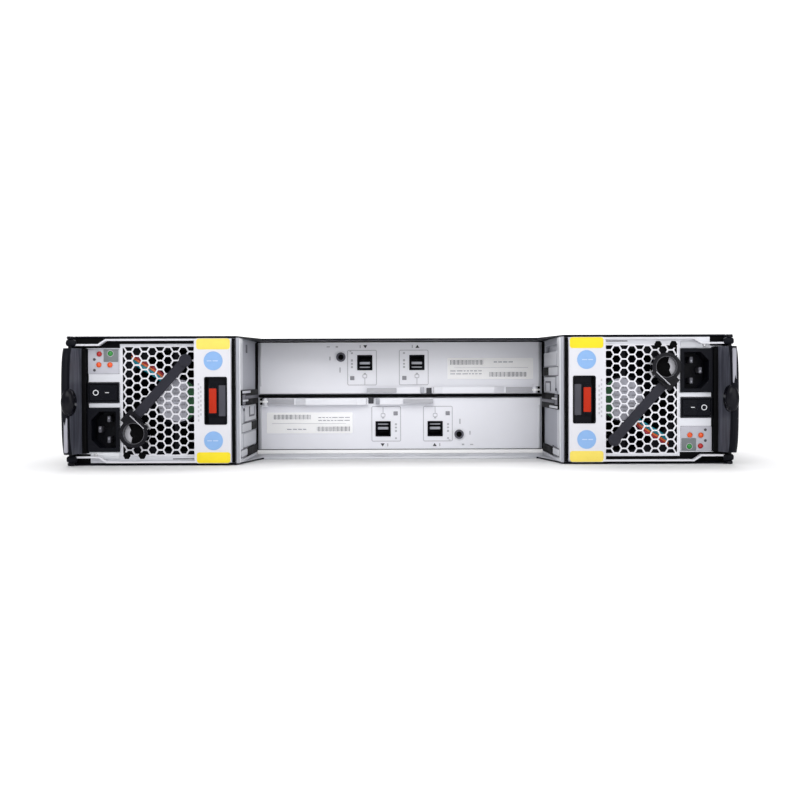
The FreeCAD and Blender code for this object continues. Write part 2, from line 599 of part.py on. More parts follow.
def side_grip():
    """Fixed pull beside the module: a scooped fin with a thumb rest and two hinge lugs."""
    left = "(-body_width / 2 + grip_inset)"
    right = f"({left} + grip_width)"
    rest = "(rear_face - grip_reach)"
    tip = f"({rest} + thumb_proud)"
    low, high = f"{MID} - {GRIP_HALF}", f"{MID} + {GRIP_HALF}"
    plan = prism("XY", (
        (left, "rear_face"), (left, f"{tip} + grip_tip"), (f"{left} + grip_tip / 3", tip),
        (f"{left} + grip_tip", tip), (f"{left} + grip_tip * 1.5", f"{tip} + grip_tip"),
        (right, "rear_face - 3 * grip_base"), (right, "rear_face"),
    ), low, high)
    side = prism("YZ", (
        ("rear_face", low), ("rear_face", high), ("rear_face - grip_base", high),
        (tip, f"{high} - grip_taper"), (tip, f"{low} + grip_taper"), ("rear_face - grip_base", low),
    ), f"{left} - fit", f"{right} + fit")
    scoop = rod("z", (f"{right} + grip_reach * 0.75", f"{tip} + grip_reach * 0.45", "0"),
                "grip_reach * 0.86", "body_height")
    near, far = f"{left} + thumb_inset", f"{left} + thumb_inset + thumb_width"
    thumb_low, thumb_high = about(f"{MID} - thumb_drop", "thumb_height")
    thumb = round_edges(prism("XZ", (
        (near, thumb_low), (far, thumb_low), (far, thumb_high), (near, thumb_high),
    ), rest, f"{tip} + grip_tip"), Vector(0, 1, 0), "thumb_corner")
    base = box((left, right), ("rear_face - grip_base", "rear_face"), (low, high))
    spine = box((left, f"{left} + lug_width"), ("rear_face - grip_base", "rear_face"),
                ("0", "body_height"))
    pieces = [cut(common(plan, side), scoop), thumb, base, spine]
    for lug_z, pin_z in ((("0", "lug_sheet"), ("lug_sheet / 2", f"{low} + pivot_radius")),
                         (("body_height - lug_sheet", "body_height"),
                          (f"{high} - pivot_radius", "body_height - lug_sheet / 2"))):
        pieces.append(box((left, f"{left} + lug_width"), (f"{PIVOT_Y} - eye_radius", "rear_face"),
                          lug_z))
        pieces.append(rod("z", (PIVOT_X, PIVOT_Y, pin_z[0]), "pivot_radius",
                          f"({pin_z[1]}) - ({pin_z[0]})"))
    return fuse(*pieces)


def bail_handle():
    """A pull panel on two cranked arms that swing about the grip's pins."""
    left = f"({BAIL_RIGHT} - bail_width)"
    low, high = f"{MID} - {POWER_HALF}", f"{MID} + {POWER_HALF}"
    panel = prism("XZ", ((left, low), (BAIL_RIGHT, low), (BAIL_RIGHT, high), (left, high)),
                  BAIL_FRONT, f"{BAIL_FRONT} + bail_sheet")
    round_edges(panel, Vector(0, 1, 0), "bail_corner")
    aperture = box((f"{BAIL_RIGHT} - aperture_inset - aperture_width", f"{BAIL_RIGHT} - aperture_inset"),
                   (f"{BAIL_FRONT} - bail_sheet", f"{BAIL_FRONT} + 2 * bail_sheet"),
                   about(MID, "aperture_height"))
    pieces = [cut(panel, aperture)]
    bend, root = f"{PIVOT_X} + arm_bend", f"{left} + arm_overlap"
    for sign in (-1, 1):
        inner = f"{MID} + {sign} * ({POWER_HALF} - arm_inset_inner"
        outer = f"{MID} + {sign} * ({POWER_HALF} - arm_inset_outer"
        arm = prism("XZ", (
            (PIVOT_X, f"{inner})"), (f"{bend} - arm_slant", f"{inner})"), (bend, f"{outer})"),
            (root, f"{outer})"), (root, f"{outer} + arm_sheet)"),
            (f"{bend} - slack", f"{outer} + arm_sheet)"),
            (f"{bend} - arm_slant - slack", f"{inner} + arm_sheet)"),
            (PIVOT_X, f"{inner} + arm_sheet)"),
        ), BAIL_FRONT, f"{BAIL_FRONT} + arm_depth")
        middle = f"({inner} + eye_height / 2))"
        eye = rod("z", (PIVOT_X, PIVOT_Y, f"{middle} - eye_height / 2"), "eye_radius", "eye_height")
        bore = rod("z", (PIVOT_X, PIVOT_Y, f"{middle} - eye_height"), "pivot_radius + pin_fit",
                   "2 * eye_height")
        pieces.append(cut(fuse(arm, eye), bore))
    return fuse(*pieces)


def bail_latch():
    """The slide in the panel's opening: a raised tab, a flat plate and wings behind."""
    right = f"({BAIL_RIGHT} - aperture_inset - latch_gap)"
    left = f"({right} - latch_width)"
    halfway, behind = f"({BAIL_FRONT} + bail_sheet / 2)", f"({BAIL_FRONT} + bail_sheet + slack)"
    plate = box((left, right), (halfway, f"{behind} + latch_proud"), about(MID, "latch_height"))
    tab = box((left, f"{left} + latch_tab"), (f"{BAIL_FRONT} - latch_proud", halfway),
              about(MID, "latch_height - latch_wing"))
    wings = box((left, right), (behind, f"{behind} + latch_proud"),
                about(MID, "aperture_height + 2 * latch_wing"))
    return fuse(plate, tab, wings)


def strap_frame(piece):
    """Lay a piece that was made along the X axis down the strap's slanting line."""
    DOC.recompute()
    piece.Placement = Placement(Vector(), Rotation(Vector(0, 1, 0), worth(STRAP_TURN)))
    bind(piece, "Placement.Rotation.Angle", STRAP_TURN)
    bind(piece, "Placement.Base.x", f"{POWER_RIGHT} - strap_anchor_x")
    bind(piece, "Placement.Base.y", "rear_face")
    bind(piece, "Placement.Base.z", f"{MID} + strap_anchor_rise")
    return piece


def cable_strap():
    """A flat strip that hangs from a button."""
    strip = box(("0", f"{STRAP_LENGTH} + strap_tail"), ("-slack - strap_sheet", "-slack"),
                about("0", "strap_width"))
    button = rod("y", ("0", "-slack - 2 * strap_sheet", "0"), "anchor_radius",
                 "slack + 2 * strap_sheet")
    return strap_frame(fuse(strip, button))


def cable_clamp():
    """A ring for the power cord beside a foot that runs along the strap."""
    foot_x = (f"{STRAP_LENGTH} - clamp_foot", STRAP_LENGTH)
    under = "(-slack - strap_sheet - slack)"
    half = "(strap_width / 2 + slack)"
    foot = box(foot_x, (f"{under} - clamp_wall", under), about("0", f"2 * ({half} + clamp_wall)"))
    cheeks = [box(foot_x, (under, "-slack"), (half, f"{half} + clamp_wall")),
              box(foot_x, (under, "-slack"), (f"-{half} - clamp_wall", f"-{half}"))]
    ring = rod("y", (STRAP_LENGTH, f"{under} - clamp_length", "clamp_drop"), "clamp_radius",
               "clamp_length")
    bore = rod("y", (STRAP_LENGTH, f"{under} - clamp_length - clamp_wall", "clamp_drop"),
               "clamp_radius - clamp_wall", "clamp_length + 2 * clamp_wall")
    return strap_frame(fuse(cut(fuse(foot, ring), bore), *cheeks))


def fan_rotor():
    """Many-sided hub on a round shaft, with twisted blades about the fan's axis."""
    front = "(rear_face + fan_gap + hub_depth + slack)"
    depth = "(fan_depth - 2 * hub_depth)"
    hub = DOC.addObject("Part::Prism", "Hub")
    hub.Polygon = 2 * int(size("blade_count"))
    hub.Placement = Placement(Vector(), TURNS["y"])
    for name, place in zip("xyz", (FAN_X, front, MID)):
        bind(hub, f"Placement.Base.{name}", place)
    bind(hub, "Circumradius", "rotor_hub")
    bind(hub, "Height", depth)
    shaft = rod("y", (FAN_X, front, MID), "shaft_radius", f"{depth} + hub_depth / 2")
    root, lean = "(rotor_hub - blade_sheet)", "(blade_width * sin(blade_twist) / 2)"
    blades = []
    for number in range(int(size("blade_count"))):
        blade = DOC.addObject("Part::Box", "Blade")
        bind(blade, "Length", f"{FAN_RADIUS} - blade_gap - {root}")
        bind(blade, "Width", "blade_width")
        bind(blade, "Height", "blade_sheet")
        turn = 360.0 * number / size("blade_count")
        blade.Placement = Placement(Vector(), Rotation(Vector(0, 1, 0), turn)
                                    * Rotation(Vector(1, 0, 0), size("blade_twist")))
        bind(blade, "Placement.Base.x", f"{FAN_X} + {root} * cos({turn}) - {lean} * sin({turn})")
        bind(blade, "Placement.Base.y", f"{front} + blade_sheet / 2")
        bind(blade, "Placement.Base.z", f"{MID} - {root} * sin({turn}) - {lean} * cos({turn})")
        blades.append(blade)
    return fuse(hub, shaft, *blades)


def fan_and_board():
    """The fan's frame with its fixed hub, the lamps' light block and the loaded board."""
    inner_half = f"({POWER_HALF} - case_wall)"
    front = "(rear_face + fan_gap)"
    frame = box((FAN_LEFT, FAN_RIGHT), (front, f"{front} + fan_depth"), about(MID, f"2 * {inner_half}"))
    bore = rod("y", (FAN_X, f"{front} - slack", MID), FAN_RADIUS, "fan_depth + 2 * slack")
    hub = rod("y", (FAN_X, front, MID), "hub_radius", "hub_depth")
    reach, spoke_y = f"2 * {FAN_RADIUS} + fan_rim", (front, f"{front} + hub_depth")
    struts = [box(about(FAN_X, "strut"), spoke_y, about(MID, reach)),
              box(about(FAN_X, reach), spoke_y, about(MID, "strut"))]
    fan = fuse(cut(frame, bore), hub, *struts)
    block = box(about(COLUMN_X, "window_width"), ("rear_face", "rear_face + window_depth"),
                about(f"{MID} + window_rise", "window_height"))
    floor_z = f"({MID} - {inner_half})"
    board_z = f"({floor_z} + board_rise)"
    middle = f"(({POWER_LEFT} + {POWER_RIGHT}) / 2)"
    half = f"(({POWER_RIGHT} - {POWER_LEFT}) / 2 - board_inset)"
    back = f"({front} + fan_depth + board_back_gap)"
    end = "(midplane_y - module_socket_depth - slack)"
    plate = box(about(middle, f"2 * {half}"), (back, f"{POWER_END} - board_end_gap"),
                (board_z, f"{board_z} + board"))
    tongue = box(about(middle, "tongue_width"), (f"{POWER_END} - 2 * board_end_gap", end),
                 (board_z, f"{board_z} + board"))
    posts = [box(about(f"{middle} + {side} * ({half} - post)", "post"), about(place, "post"),
                 (floor_z, board_z)) for side in (-1, 1)
             for place in (f"{back} + post_inset", f"{POWER_END} - board_end_gap - post_inset")]
    sinks = [box(about(f"{middle} + {side} * {half} / 2", "sink_width"),
                 (f"{back} + sink_start", f"{POWER_END} - sink_end"),
                 (f"{board_z} + board", f"{MID} + {inner_half} / 2")) for side in (-1, 1)]
    return group(fan, block, fuse(plate, tongue, *posts, *sinks))


def power_modules():
    makers = (("power_case", power_case), ("power_grille", power_grille), ("ac_inlet", ac_inlet),
              ("power_switch", power_switch), ("side_grip", side_grip), ("bail_handle", bail_handle),
              ("bail_latch", bail_latch), ("cable_strap", cable_strap), ("cable_clamp", cable_clamp),
              ("fan_rotor", fan_rotor), ("fan_and_board", fan_and_board))
    for name, make in makers:
        left = keep(make(), f"{name}_left")
        turned_copy(left, f"{name}_right", MID)


# ---------------------------------------------------------------- input/output module

def port_places():
    """The middles of the two cable ports."""
    level = f"({IO_MID} + port_rise)"
    return [("port_left", level), ("port_right", level)]


def io_case():
    """Face plate with its ports, on an open tray."""
    plate = box((f"-{IO_HALF}", IO_HALF), (IO_Y, f"{IO_Y} + io_face"), (IO_BOTTOM, IO_TOP))
    tray = box((f"-{IO_HALF} + io_wall", f"{IO_HALF} - io_wall"), (f"{IO_Y} + io_face", IO_END),
               (IO_BOTTOM, f"{IO_TOP} - io_wall"))
    hollow = box((f"-{IO_HALF} + 2 * io_wall", f"{IO_HALF} - 2 * io_wall"),
                 (f"{IO_Y} + io_face", f"{IO_END} + io_wall"),
                 (f"{IO_BOTTOM} + io_wall", IO_TOP))
    through = (f"{IO_Y} - io_face", f"{IO_Y} + 2 * io_face")
    holes = [box(about(x, "port_size"), through, about(z, "port_size")) for x, z in port_places()]
    holes.append(rod("y", ("jack_x", through[0], f"{IO_MID} + jack_rise"), "jack_bore + jack_wall",
                     "3 * io_face"))
    rise = f"({IO_MID} + lever_rise + lever_height / 2)"
    pin_y = f"({IO_Y} - lever_gap - lever_depth / 2)"
    lug = box(about(LEVER_PIVOT, "2 * lever_eye"), (f"{pin_y} - lever_eye", IO_Y),
              (f"{rise} + slack", f"{rise} + slack + lever_lug"))
    pin = rod("z", (LEVER_PIVOT, pin_y, f"{rise} - lever_height"), "lever_pin",
              "lever_height + slack + lever_lug / 2")
    return fuse(cut(fuse(plate, cut(tray, hollow)), *holes), lug, pin)


def io_board():
    """Circuit board on posts, with two cable ports, the small jack and the rear tongue."""
    floor_z = f"({IO_BOTTOM} + io_wall)"
    board_z = f"({floor_z} + board_rise)"
    half = f"({IO_HALF} - 3 * io_wall)"
    back = f"({IO_Y} + 2 * io_face)"
    end = "(midplane_y - module_socket_depth - slack)"
    plate = box((f"-{half}", half), (back, f"{IO_END} - board_end_gap"),
                (board_z, f"{board_z} + board"))
    tongue = box(about("0", "tongue_width"), (f"{IO_END} - 2 * board_end_gap", end),
                 (board_z, f"{board_z} + board"))
    posts = [box(about(f"{side} * ({half} - post)", "post"), about(place, "post"), (floor_z, board_z))
             for side in (-1, 1)
             for place in (f"{back} + post_inset", f"{IO_END} - board_end_gap - post_inset")]
    pieces = [plate, tongue, *posts]
    cavity_size = "port_size - 2 * port_wall"
    stand_y = f"{back} + io_wall"
    for x, z in port_places():
        cage = box(about(x, "port_size"), (f"{IO_Y} - port_proud", f"{IO_Y} + port_depth"),
                   about(z, "port_size"))
        cavity = box(about(x, cavity_size), (f"{IO_Y} - 2 * port_proud", f"{IO_Y} + port_cavity"),
                     about(z, cavity_size))
        blades = [box(about(x, f"{cavity_size} - port_wall"), (f"{IO_Y} + port_cavity / 2",
                      f"{IO_Y} + port_cavity"), about(f"{z} + {side} * port_size / 5", "tongue"))
                  for side in (-1, 1)]
        stand = box(about(x, "port_size"), (stand_y, f"{IO_Y} + port_depth"),
                    (f"{board_z} + board", f"{z} - port_size / 2"))
        pieces += [cut(cage, cavity), *blades, stand]
    jack_z, mouth = f"({IO_MID} + jack_rise)", f"({IO_Y} - jack_proud)"
    collar = rod("y", ("jack_x", mouth, jack_z), "jack_radius", "jack_proud")
    barrel = rod("y", ("jack_x", IO_Y, jack_z), "jack_bore + jack_wall", "jack_length")
    bore = rod("y", ("jack_x", f"{mouth} - jack_wall", jack_z), "jack_bore",
               "jack_bore_depth + jack_wall")
    stand = box(about("jack_x", "jack_radius"), (stand_y, f"{IO_Y} + jack_length"),
                (f"{board_z} + board", jack_z))
    return fuse(*pieces, cut(fuse(barrel, collar, stand), bore))


def io_lever():
    """Extraction lever: a bar hinged at its outer end, bowed outward for the fingers."""
    front = f"({IO_Y} - lever_gap - lever_depth)"
    low, high = about(f"{IO_MID} + lever_rise", "lever_height")
    span = f"({LEVER_PIVOT} - lever_start)"
    bar = prism("XY", (
        ("lever_start", f"{front} + lever_depth"), (LEVER_PIVOT, f"{front} + lever_depth"),
        (LEVER_PIVOT, front), (f"lever_start + {span} * 0.7", front),
        (f"lever_start + {span} * 0.6", f"{front} - lever_bow"),
        (f"lever_start + {span} * 0.1", f"{front} - lever_bow"), ("lever_start", front),
    ), low, high)
    pivot_y = f"({front} + lever_depth / 2)"
    eye = rod("z", (LEVER_PIVOT, pivot_y, low), "lever_eye", "lever_height")
    bore = rod("z", (LEVER_PIVOT, pivot_y, f"{low} - slack"), "lever_pin + pin_fit",
               "lever_height + 2 * slack")
    return cut(fuse(bar, eye), bore)


def io_release():
    """Sprung catch that holds the lever's free end."""
    front = f"({IO_Y} - lever_gap - lever_depth)"
    middle = f"{IO_MID} + lever_rise"
    bar = box(("release_start", "release_end"), (front, f"{IO_Y} - lever_gap"),
              about(middle, "lever_height"))
    pad = box(("release_start", "release_start + pad_width"), (f"{front} - lever_lug", front),
              about(middle, "lever_height - 2 * lever_lug"))
    return fuse(bar, pad)


def io_modules():
    makers = (("io_case", io_case), ("io_board", io_board), ("io_lever", io_lever),
              ("io_release", io_release))
    for name, make in makers:
        upper = keep(make(), f"{name}_upper")
        turned_copy(upper, f"{name}_lower", IO_MID)


def check_and_write():
    DOC.recompute()
    for item in DOC.Objects:
        if {"Invalid", "Error"} & set(item.State):
            raise RuntimeError(f"{item.Name} ({item.Label}) failed: {item.State}")
    os.makedirs("parts", exist_ok=True)
    for node in NODES:
        if node.Shape.isNull() or not node.Shape.isValid():
            raise RuntimeError(f"{node.Label} has no valid shape")
        node.Shape.exportStep(f"parts/{node.Label}.step")


chassis_tray()
top_cover()
module_bay_frame()
drive_cage()
midplane()
ear_caps()
power_modules()
io_modules()
carriers()
check_and_write()
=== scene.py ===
import math

import bmesh
import bpy
from mathutils import Matrix, Vector


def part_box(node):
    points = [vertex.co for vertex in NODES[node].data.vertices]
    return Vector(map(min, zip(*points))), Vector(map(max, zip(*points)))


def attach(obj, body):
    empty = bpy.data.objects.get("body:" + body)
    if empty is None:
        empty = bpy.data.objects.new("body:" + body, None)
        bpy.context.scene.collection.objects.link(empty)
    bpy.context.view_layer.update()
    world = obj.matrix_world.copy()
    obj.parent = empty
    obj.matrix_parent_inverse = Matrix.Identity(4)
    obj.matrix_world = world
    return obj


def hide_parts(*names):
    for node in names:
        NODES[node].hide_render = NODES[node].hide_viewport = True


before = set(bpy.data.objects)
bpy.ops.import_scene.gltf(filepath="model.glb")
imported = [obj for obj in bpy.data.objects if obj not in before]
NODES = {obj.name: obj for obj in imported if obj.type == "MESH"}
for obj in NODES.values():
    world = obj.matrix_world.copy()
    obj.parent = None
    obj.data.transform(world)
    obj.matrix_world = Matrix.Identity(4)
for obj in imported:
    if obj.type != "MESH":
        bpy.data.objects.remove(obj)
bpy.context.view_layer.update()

MM = 0.001
WHITE = (1, 1, 1, 1)


# ---------------------------------------------------------------- places, read from the frame

def middle(node_name):
    """Middle of a node's box."""
    low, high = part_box(node_name)
    return (low + high) / 2


MID_Z = middle("power_case_left").z
FACE_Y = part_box("power_case_left")[0].y
IO_MID_Z = (middle("io_case_upper").z + middle("io_case_lower").z) / 2
IO_SETBACK = 100 * MM       # the input/output faces lie this far inside the top cover's edge
IO_FACE_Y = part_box("top_cover")[0].y + IO_SETBACK


def turned_about(z):
    """Half a turn about a line along Y at a height, as the second modules are placed."""
    return (Matrix.Translation((0, 0, z)) @ Matrix.Rotation(math.pi, 4, "Y")
            @ Matrix.Translation((0, 0, -z)))


POWER_SIDES = {"left": Matrix.Identity(4), "right": turned_about(MID_Z)}
IO_LEVELS = {"upper": Matrix.Identity(4), "lower": turned_about(IO_MID_Z)}


def drawing_at(face_y, mid_z):
    """Places a drawing in millimetres: x from the middle plane, y behind a face and z above
    a level."""
    return Matrix.Translation((0, face_y, mid_z)) @ Matrix.Scale(MM, 4)


# ---------------------------------------------------------------- materials

EVEN = (1, 1, 1)            # stretches of a texture: alike every way,
UPRIGHT = (1, 1, 0.06)      # drawn out along z,
LEVEL = (0.06, 1, 1)        # drawn out along x,
STREAKS = (1, 1, 0.04)      # and along z again, for the grips
TEXTURE_LOW, TEXTURE_HIGH = 0.3, 0.7    # where most of a noise texture's values lie
EDGE_SOFTENING = 0.25 * MM


def shader(name, base, roughness, metallic=0.0):
    """A new material with its node tree, and the principled shader in it."""
    material = bpy.data.materials.new(name)
    material.use_nodes = True
    tree = material.node_tree
    principled = tree.nodes["Principled BSDF"]
    principled.inputs["Base Color"].default_value = (*base, 1)
    principled.inputs["Roughness"].default_value = roughness
    principled.inputs["Metallic"].default_value = metallic
    return material, tree, principled


def node(tree, kind, **inputs):
    """A new node, with values for its inputs; an underscore stands for a space in a name."""
    made = tree.nodes.new(kind)
    for name, value in inputs.items():
        made.inputs[name.replace("_", " ")].default_value = value
    return made


def grain_coordinates(tree, stretch=EVEN):
    """Object coordinates, stretched so that a texture draws out along one axis."""
    place = node(tree, "ShaderNodeTexCoord")
    mapping = node(tree, "ShaderNodeMapping", Scale=stretch)
    tree.links.new(place.outputs["Object"], mapping.inputs["Vector"])
    return mapping.outputs["Vector"]


def noise(tree, vector, scale, detail=3.0):
    texture = node(tree, "ShaderNodeTexNoise", Scale=scale, Detail=detail)
    tree.links.new(vector, texture.inputs["Vector"])
    return texture.outputs["Fac"]


def spread(tree, source, low, high, source_low=TEXTURE_LOW, source_high=TEXTURE_HIGH):
    """Spread a value, most often a texture's, between two numbers."""
    ranged = node(tree, "ShaderNodeMapRange", From_Min=source_low, From_Max=source_high,
                  To_Min=low, To_Max=high)
    tree.links.new(source, ranged.inputs["Value"])
    return ranged.outputs["Result"]


def tint(tree, principled, source, dark, light):
    """Let a texture vary the colour between two near shades."""
    mix = tree.nodes.new("ShaderNodeMix")
    mix.data_type = "RGBA"
    mix.inputs["A"].default_value = (*dark, 1)
    mix.inputs["B"].default_value = (*light, 1)
    tree.links.new(source, mix.inputs["Factor"])
    tree.links.new(mix.outputs["Result"], principled.inputs["Base Color"])


def relief(tree, principled, source, strength, distance):
    """Surface grain, over edges that are softened where two faces meet."""
    soft = node(tree, "ShaderNodeBevel", Radius=EDGE_SOFTENING)
    soft.samples = 4
    bump = node(tree, "ShaderNodeBump", Strength=strength, Distance=distance)
    tree.links.new(source, bump.inputs["Height"])
    tree.links.new(soft.outputs["Normal"], bump.inputs["Normal"])
    tree.links.new(bump.outputs["Normal"], principled.inputs["Normal"])


def shade(base, factor):
    return tuple(min(1.0, channel * factor) for channel in base)


def vary_colour(tree, principled, source, base, darker, lighter):
    """Let a texture darken and lighten a colour."""
    tint(tree, principled, source, shade(base, darker), shade(base, lighter))


def vary_roughness(tree, principled, source, low, high):
    tree.links.new(spread(tree, source, low, high), principled.inputs["Roughness"])


def plated_sheet(name, base, run=EVEN, roughness=0.38, metallic=0.55):
    """Plated steel sheet with fine rolling marks along one axis and a faint cloudiness."""
    material, tree, principled = shader(name, base, roughness, metallic)
    along = noise(tree, grain_coordinates(tree, run), scale=900.0, detail=2.0)
    cloud = noise(tree, grain_coordinates(tree), scale=22.0, detail=4.0)
    vary_colour(tree, principled, cloud, base, darker=0.93, lighter=1.04)
    vary_roughness(tree, principled, cloud, roughness - 0.05, roughness + 0.07)
    relief(tree, principled, along, strength=0.12, distance=0.02 * MM)
    return material


def powder_coat(name, base, roughness=0.5):
    """Baked paint with a fine orange peel and slightly worn sheen."""
    material, tree, principled = shader(name, base, roughness)
    place = grain_coordinates(tree)
    peel = noise(tree, place, scale=1500.0, detail=2.0)
    wear = noise(tree, place, scale=35.0, detail=5.0)
    vary_colour(tree, principled, wear, base, darker=0.95, lighter=1.05)
    vary_roughness(tree, principled, wear, roughness - 0.015, roughness + 0.015)
    relief(tree, principled, peel, strength=0.25, distance=0.04 * MM)
    return material


def moulded_plastic(name, base, roughness=0.45, grain=2600.0, strength=0.3):
    """Injection-moulded plastic with a spark-eroded grain."""
    material, tree, principled = shader(name, base, roughness)
    place = grain_coordinates(tree)
    texture = noise(tree, place, grain)
    patch = noise(tree, place, scale=60.0)
    vary_colour(tree, principled, patch, base, darker=0.85, lighter=1.15)
    vary_roughness(tree, principled, patch, roughness - 0.06, roughness + 0.08)
    relief(tree, principled, texture, strength, distance=0.05 * MM)
    return material


def matt(material, level=0.1):
    """Hold back the mirror part of a dark surface."""
    principled = material.node_tree.nodes["Principled BSDF"]
    principled.inputs["Specular IOR Level"].default_value = level
    return material


def streaked_plastic(name, dark, light):
    """Ribbed moulding: fine upright streaks between two shades of black."""
    material, tree, principled = shader(name, dark, roughness=0.42)
    streak = noise(tree, grain_coordinates(tree, STREAKS), scale=620.0)
    grain = noise(tree, grain_coordinates(tree), scale=2200.0)
    tint(tree, principled, spread(tree, streak, 0.0, 1.0), dark, light)
    vary_roughness(tree, principled, streak, 0.34, 0.52)
    relief(tree, principled, grain, strength=0.3, distance=0.05 * MM)
    return matt(material, 0.2)


def printed(name, base):
    """Label film or screen print with a faint mottling."""
    material, tree, principled = shader(name, base, roughness=0.55)
    mottle = noise(tree, grain_coordinates(tree), scale=260.0)
    vary_colour(tree, principled, mottle, base, darker=0.95, lighter=1.04)
    relief(tree, principled, mottle, strength=0.05, distance=0.02 * MM)
    return material


def lit(material, colour, level):
    """Let a surface give off a little light of its own."""
    principled = material.node_tree.nodes["Principled BSDF"]
    principled.inputs["Emission Color"].default_value = colour
    principled.inputs["Emission Strength"].default_value = level
    return material


def circuit_board(name, base):
    """Solder-masked board with faint traces under the mask."""
    material, tree, principled = shader(name, base, roughness=0.35)
    brick = node(tree, "ShaderNodeTexBrick", Scale=90.0, Color1=(*shade(base, 1.5), 1),
                 Color2=(*base, 1), Mortar=(*shade(base, 0.7), 1))
    tree.links.new(grain_coordinates(tree), brick.inputs["Vector"])
    tree.links.new(brick.outputs["Color"], principled.inputs["Base Color"])
    relief(tree, principled, brick.outputs["Fac"], strength=0.2, distance=0.05 * MM)
    return material


def lamp_lens(name, base, glow):
    """A small diffusing lens, tinted and faintly lit."""
    material, tree, principled = shader(name, base, roughness=0.25)
    mottle = noise(tree, grain_coordinates(tree), scale=900.0, detail=2.0)
    vary_colour(tree, principled, mottle, base, darker=0.8, lighter=1.2)
    return lit(material, (*base, 1), glow)


# Plated sheet: name, colour, run of the grain, roughness, metallic.
STEEL = plated_sheet("module_sheet", (0.70, 0.71, 0.76), UPRIGHT)
IO_STEEL = plated_sheet("io_sheet", (0.90, 0.905, 0.96), LEVEL, 0.42, 0.25)
BAY_STEEL = plated_sheet("bay_sheet", (0.42, 0.43, 0.48), UPRIGHT, 0.45, 0.5)
# A lighter and a darker copy of the bay sheet. Many of their pieces on the recess walls and the
# module faces are painted light and painted shade; the rest are parts' own lighter and darker
# steel.
BRIGHT_STEEL = plated_sheet("bright_sheet", (0.66, 0.67, 0.71), UPRIGHT, 0.42, 0.5)
DARK_STEEL = plated_sheet("dark_sheet", (0.12, 0.12, 0.145), UPRIGHT, 0.5, 0.4)
GRILLE = plated_sheet("grille_sheet", (0.78, 0.78, 0.83), EVEN, 0.35, 0.45)
BARE_METAL = plated_sheet("bare_metal", (0.70, 0.70, 0.72), EVEN, 0.25, 0.95)

BLACK_PAINT = matt(powder_coat("black_paint", (0.005, 0.0055, 0.009)))
WHITE_PAINT = powder_coat("white_paint", (0.70, 0.70, 0.75), 0.42)

# Plastics: name, colour, roughness, scale of the grain, strength of the grain.
BLACK_PLASTIC = matt(moulded_plastic("black_plastic", (0.004, 0.0045, 0.008), 0.42))
# Black for painted shade: sheets set in gaps, wells, slots and holes where there is only shade.
SHADOW_BLACK = matt(moulded_plastic("shadow_black", (0.0025, 0.0025, 0.003), 0.6), 0.05)
GLOSS_BLACK = matt(moulded_plastic("gloss_black", (0.003, 0.0035, 0.007), 0.24, 1200.0, 0.08))
NYLON = matt(moulded_plastic("black_nylon", (0.022, 0.022, 0.032), 0.36, 1800.0, 0.2), 0.18)
GLOSS_NYLON = matt(moulded_plastic("gloss_nylon", (0.004, 0.004, 0.007), 0.2, 1200.0, 0.05), 0.16)
GREY_PLASTIC = matt(moulded_plastic("grey_plastic", (0.075, 0.075, 0.092), 0.5))
RED_PLASTIC = matt(moulded_plastic("red_plastic", (0.46, 0.026, 0.008), 0.4))
CLEAR_GREY = moulded_plastic("clear_grey", (0.05, 0.05, 0.06), 0.16, 1200.0, 0.05)
# Grey for a painted reflection of the pale floor in the grip's glossy black face.
REFLECTION_GREY = moulded_plastic("reflection_grey", (0.34, 0.34, 0.39))
STRIP_GREY = moulded_plastic("strip_grey", (0.50, 0.50, 0.54), 0.5)
CAP_PLASTIC = moulded_plastic("cap_plastic", (0.05, 0.05, 0.06))
BEZEL_PLASTIC = moulded_plastic("bezel_plastic", (0.07, 0.07, 0.08))
TEAL_WIRE = moulded_plastic("teal_wire", (0.01, 0.26, 0.34), 0.35)
ORANGE_WIRE = moulded_plastic("orange_wire", (0.74, 0.15, 0.035), 0.35)
RED_WIRE = moulded_plastic("red_wire", (0.36, 0.02, 0.04), 0.35)
GRIP_PLASTIC = streaked_plastic("grip_plastic", (0.028, 0.030, 0.042), (0.095, 0.098, 0.125))

HUB_GREY = printed("hub_grey", (0.46, 0.46, 0.52))
PANEL_GREY = printed("panel_grey", (0.50, 0.50, 0.56))
WINDOW_GREY = printed("window_grey", (0.17, 0.19, 0.20))
LABEL_GREY = printed("label_grey", (0.30, 0.30, 0.33))
FINE_GREY = printed("fine_grey", (0.50, 0.50, 0.54))
INK = printed("ink", (0.05, 0.05, 0.06))
WHITE_INK = printed("white_ink", (0.80, 0.82, 0.85))
YELLOW = printed("yellow_band", (0.88, 0.70, 0.0))
SOFT_YELLOW = printed("soft_yellow_band", (0.88, 0.70, 0.11))
BLUE = printed("blue_disc", (0.24, 0.43, 0.76))
PALE_BLUE = printed("pale_line", (0.48, 0.62, 0.84))
LABEL_GREEN = printed("label_green", (0.002, 0.085, 0.02))
# White that glows a little as painted light, so that it stays bright: on the face label, the pin,
# the lever tips and the sill's face.
GLOWING_WHITE = lit(printed("glowing_white", (0.97, 0.97, 0.98)), WHITE, 0.12)

BOARD = circuit_board("board_green", (0.02, 0.12, 0.05))
RED_LAMP = lamp_lens("red_lamp", (0.42, 0.012, 0.012), 0.05)
ORANGE_LAMP = lamp_lens("orange_lamp", (0.72, 0.085, 0.014), 0.12)
GREEN_LAMP = lamp_lens("green_lamp", (0.02, 0.24, 0.035), 0.05)

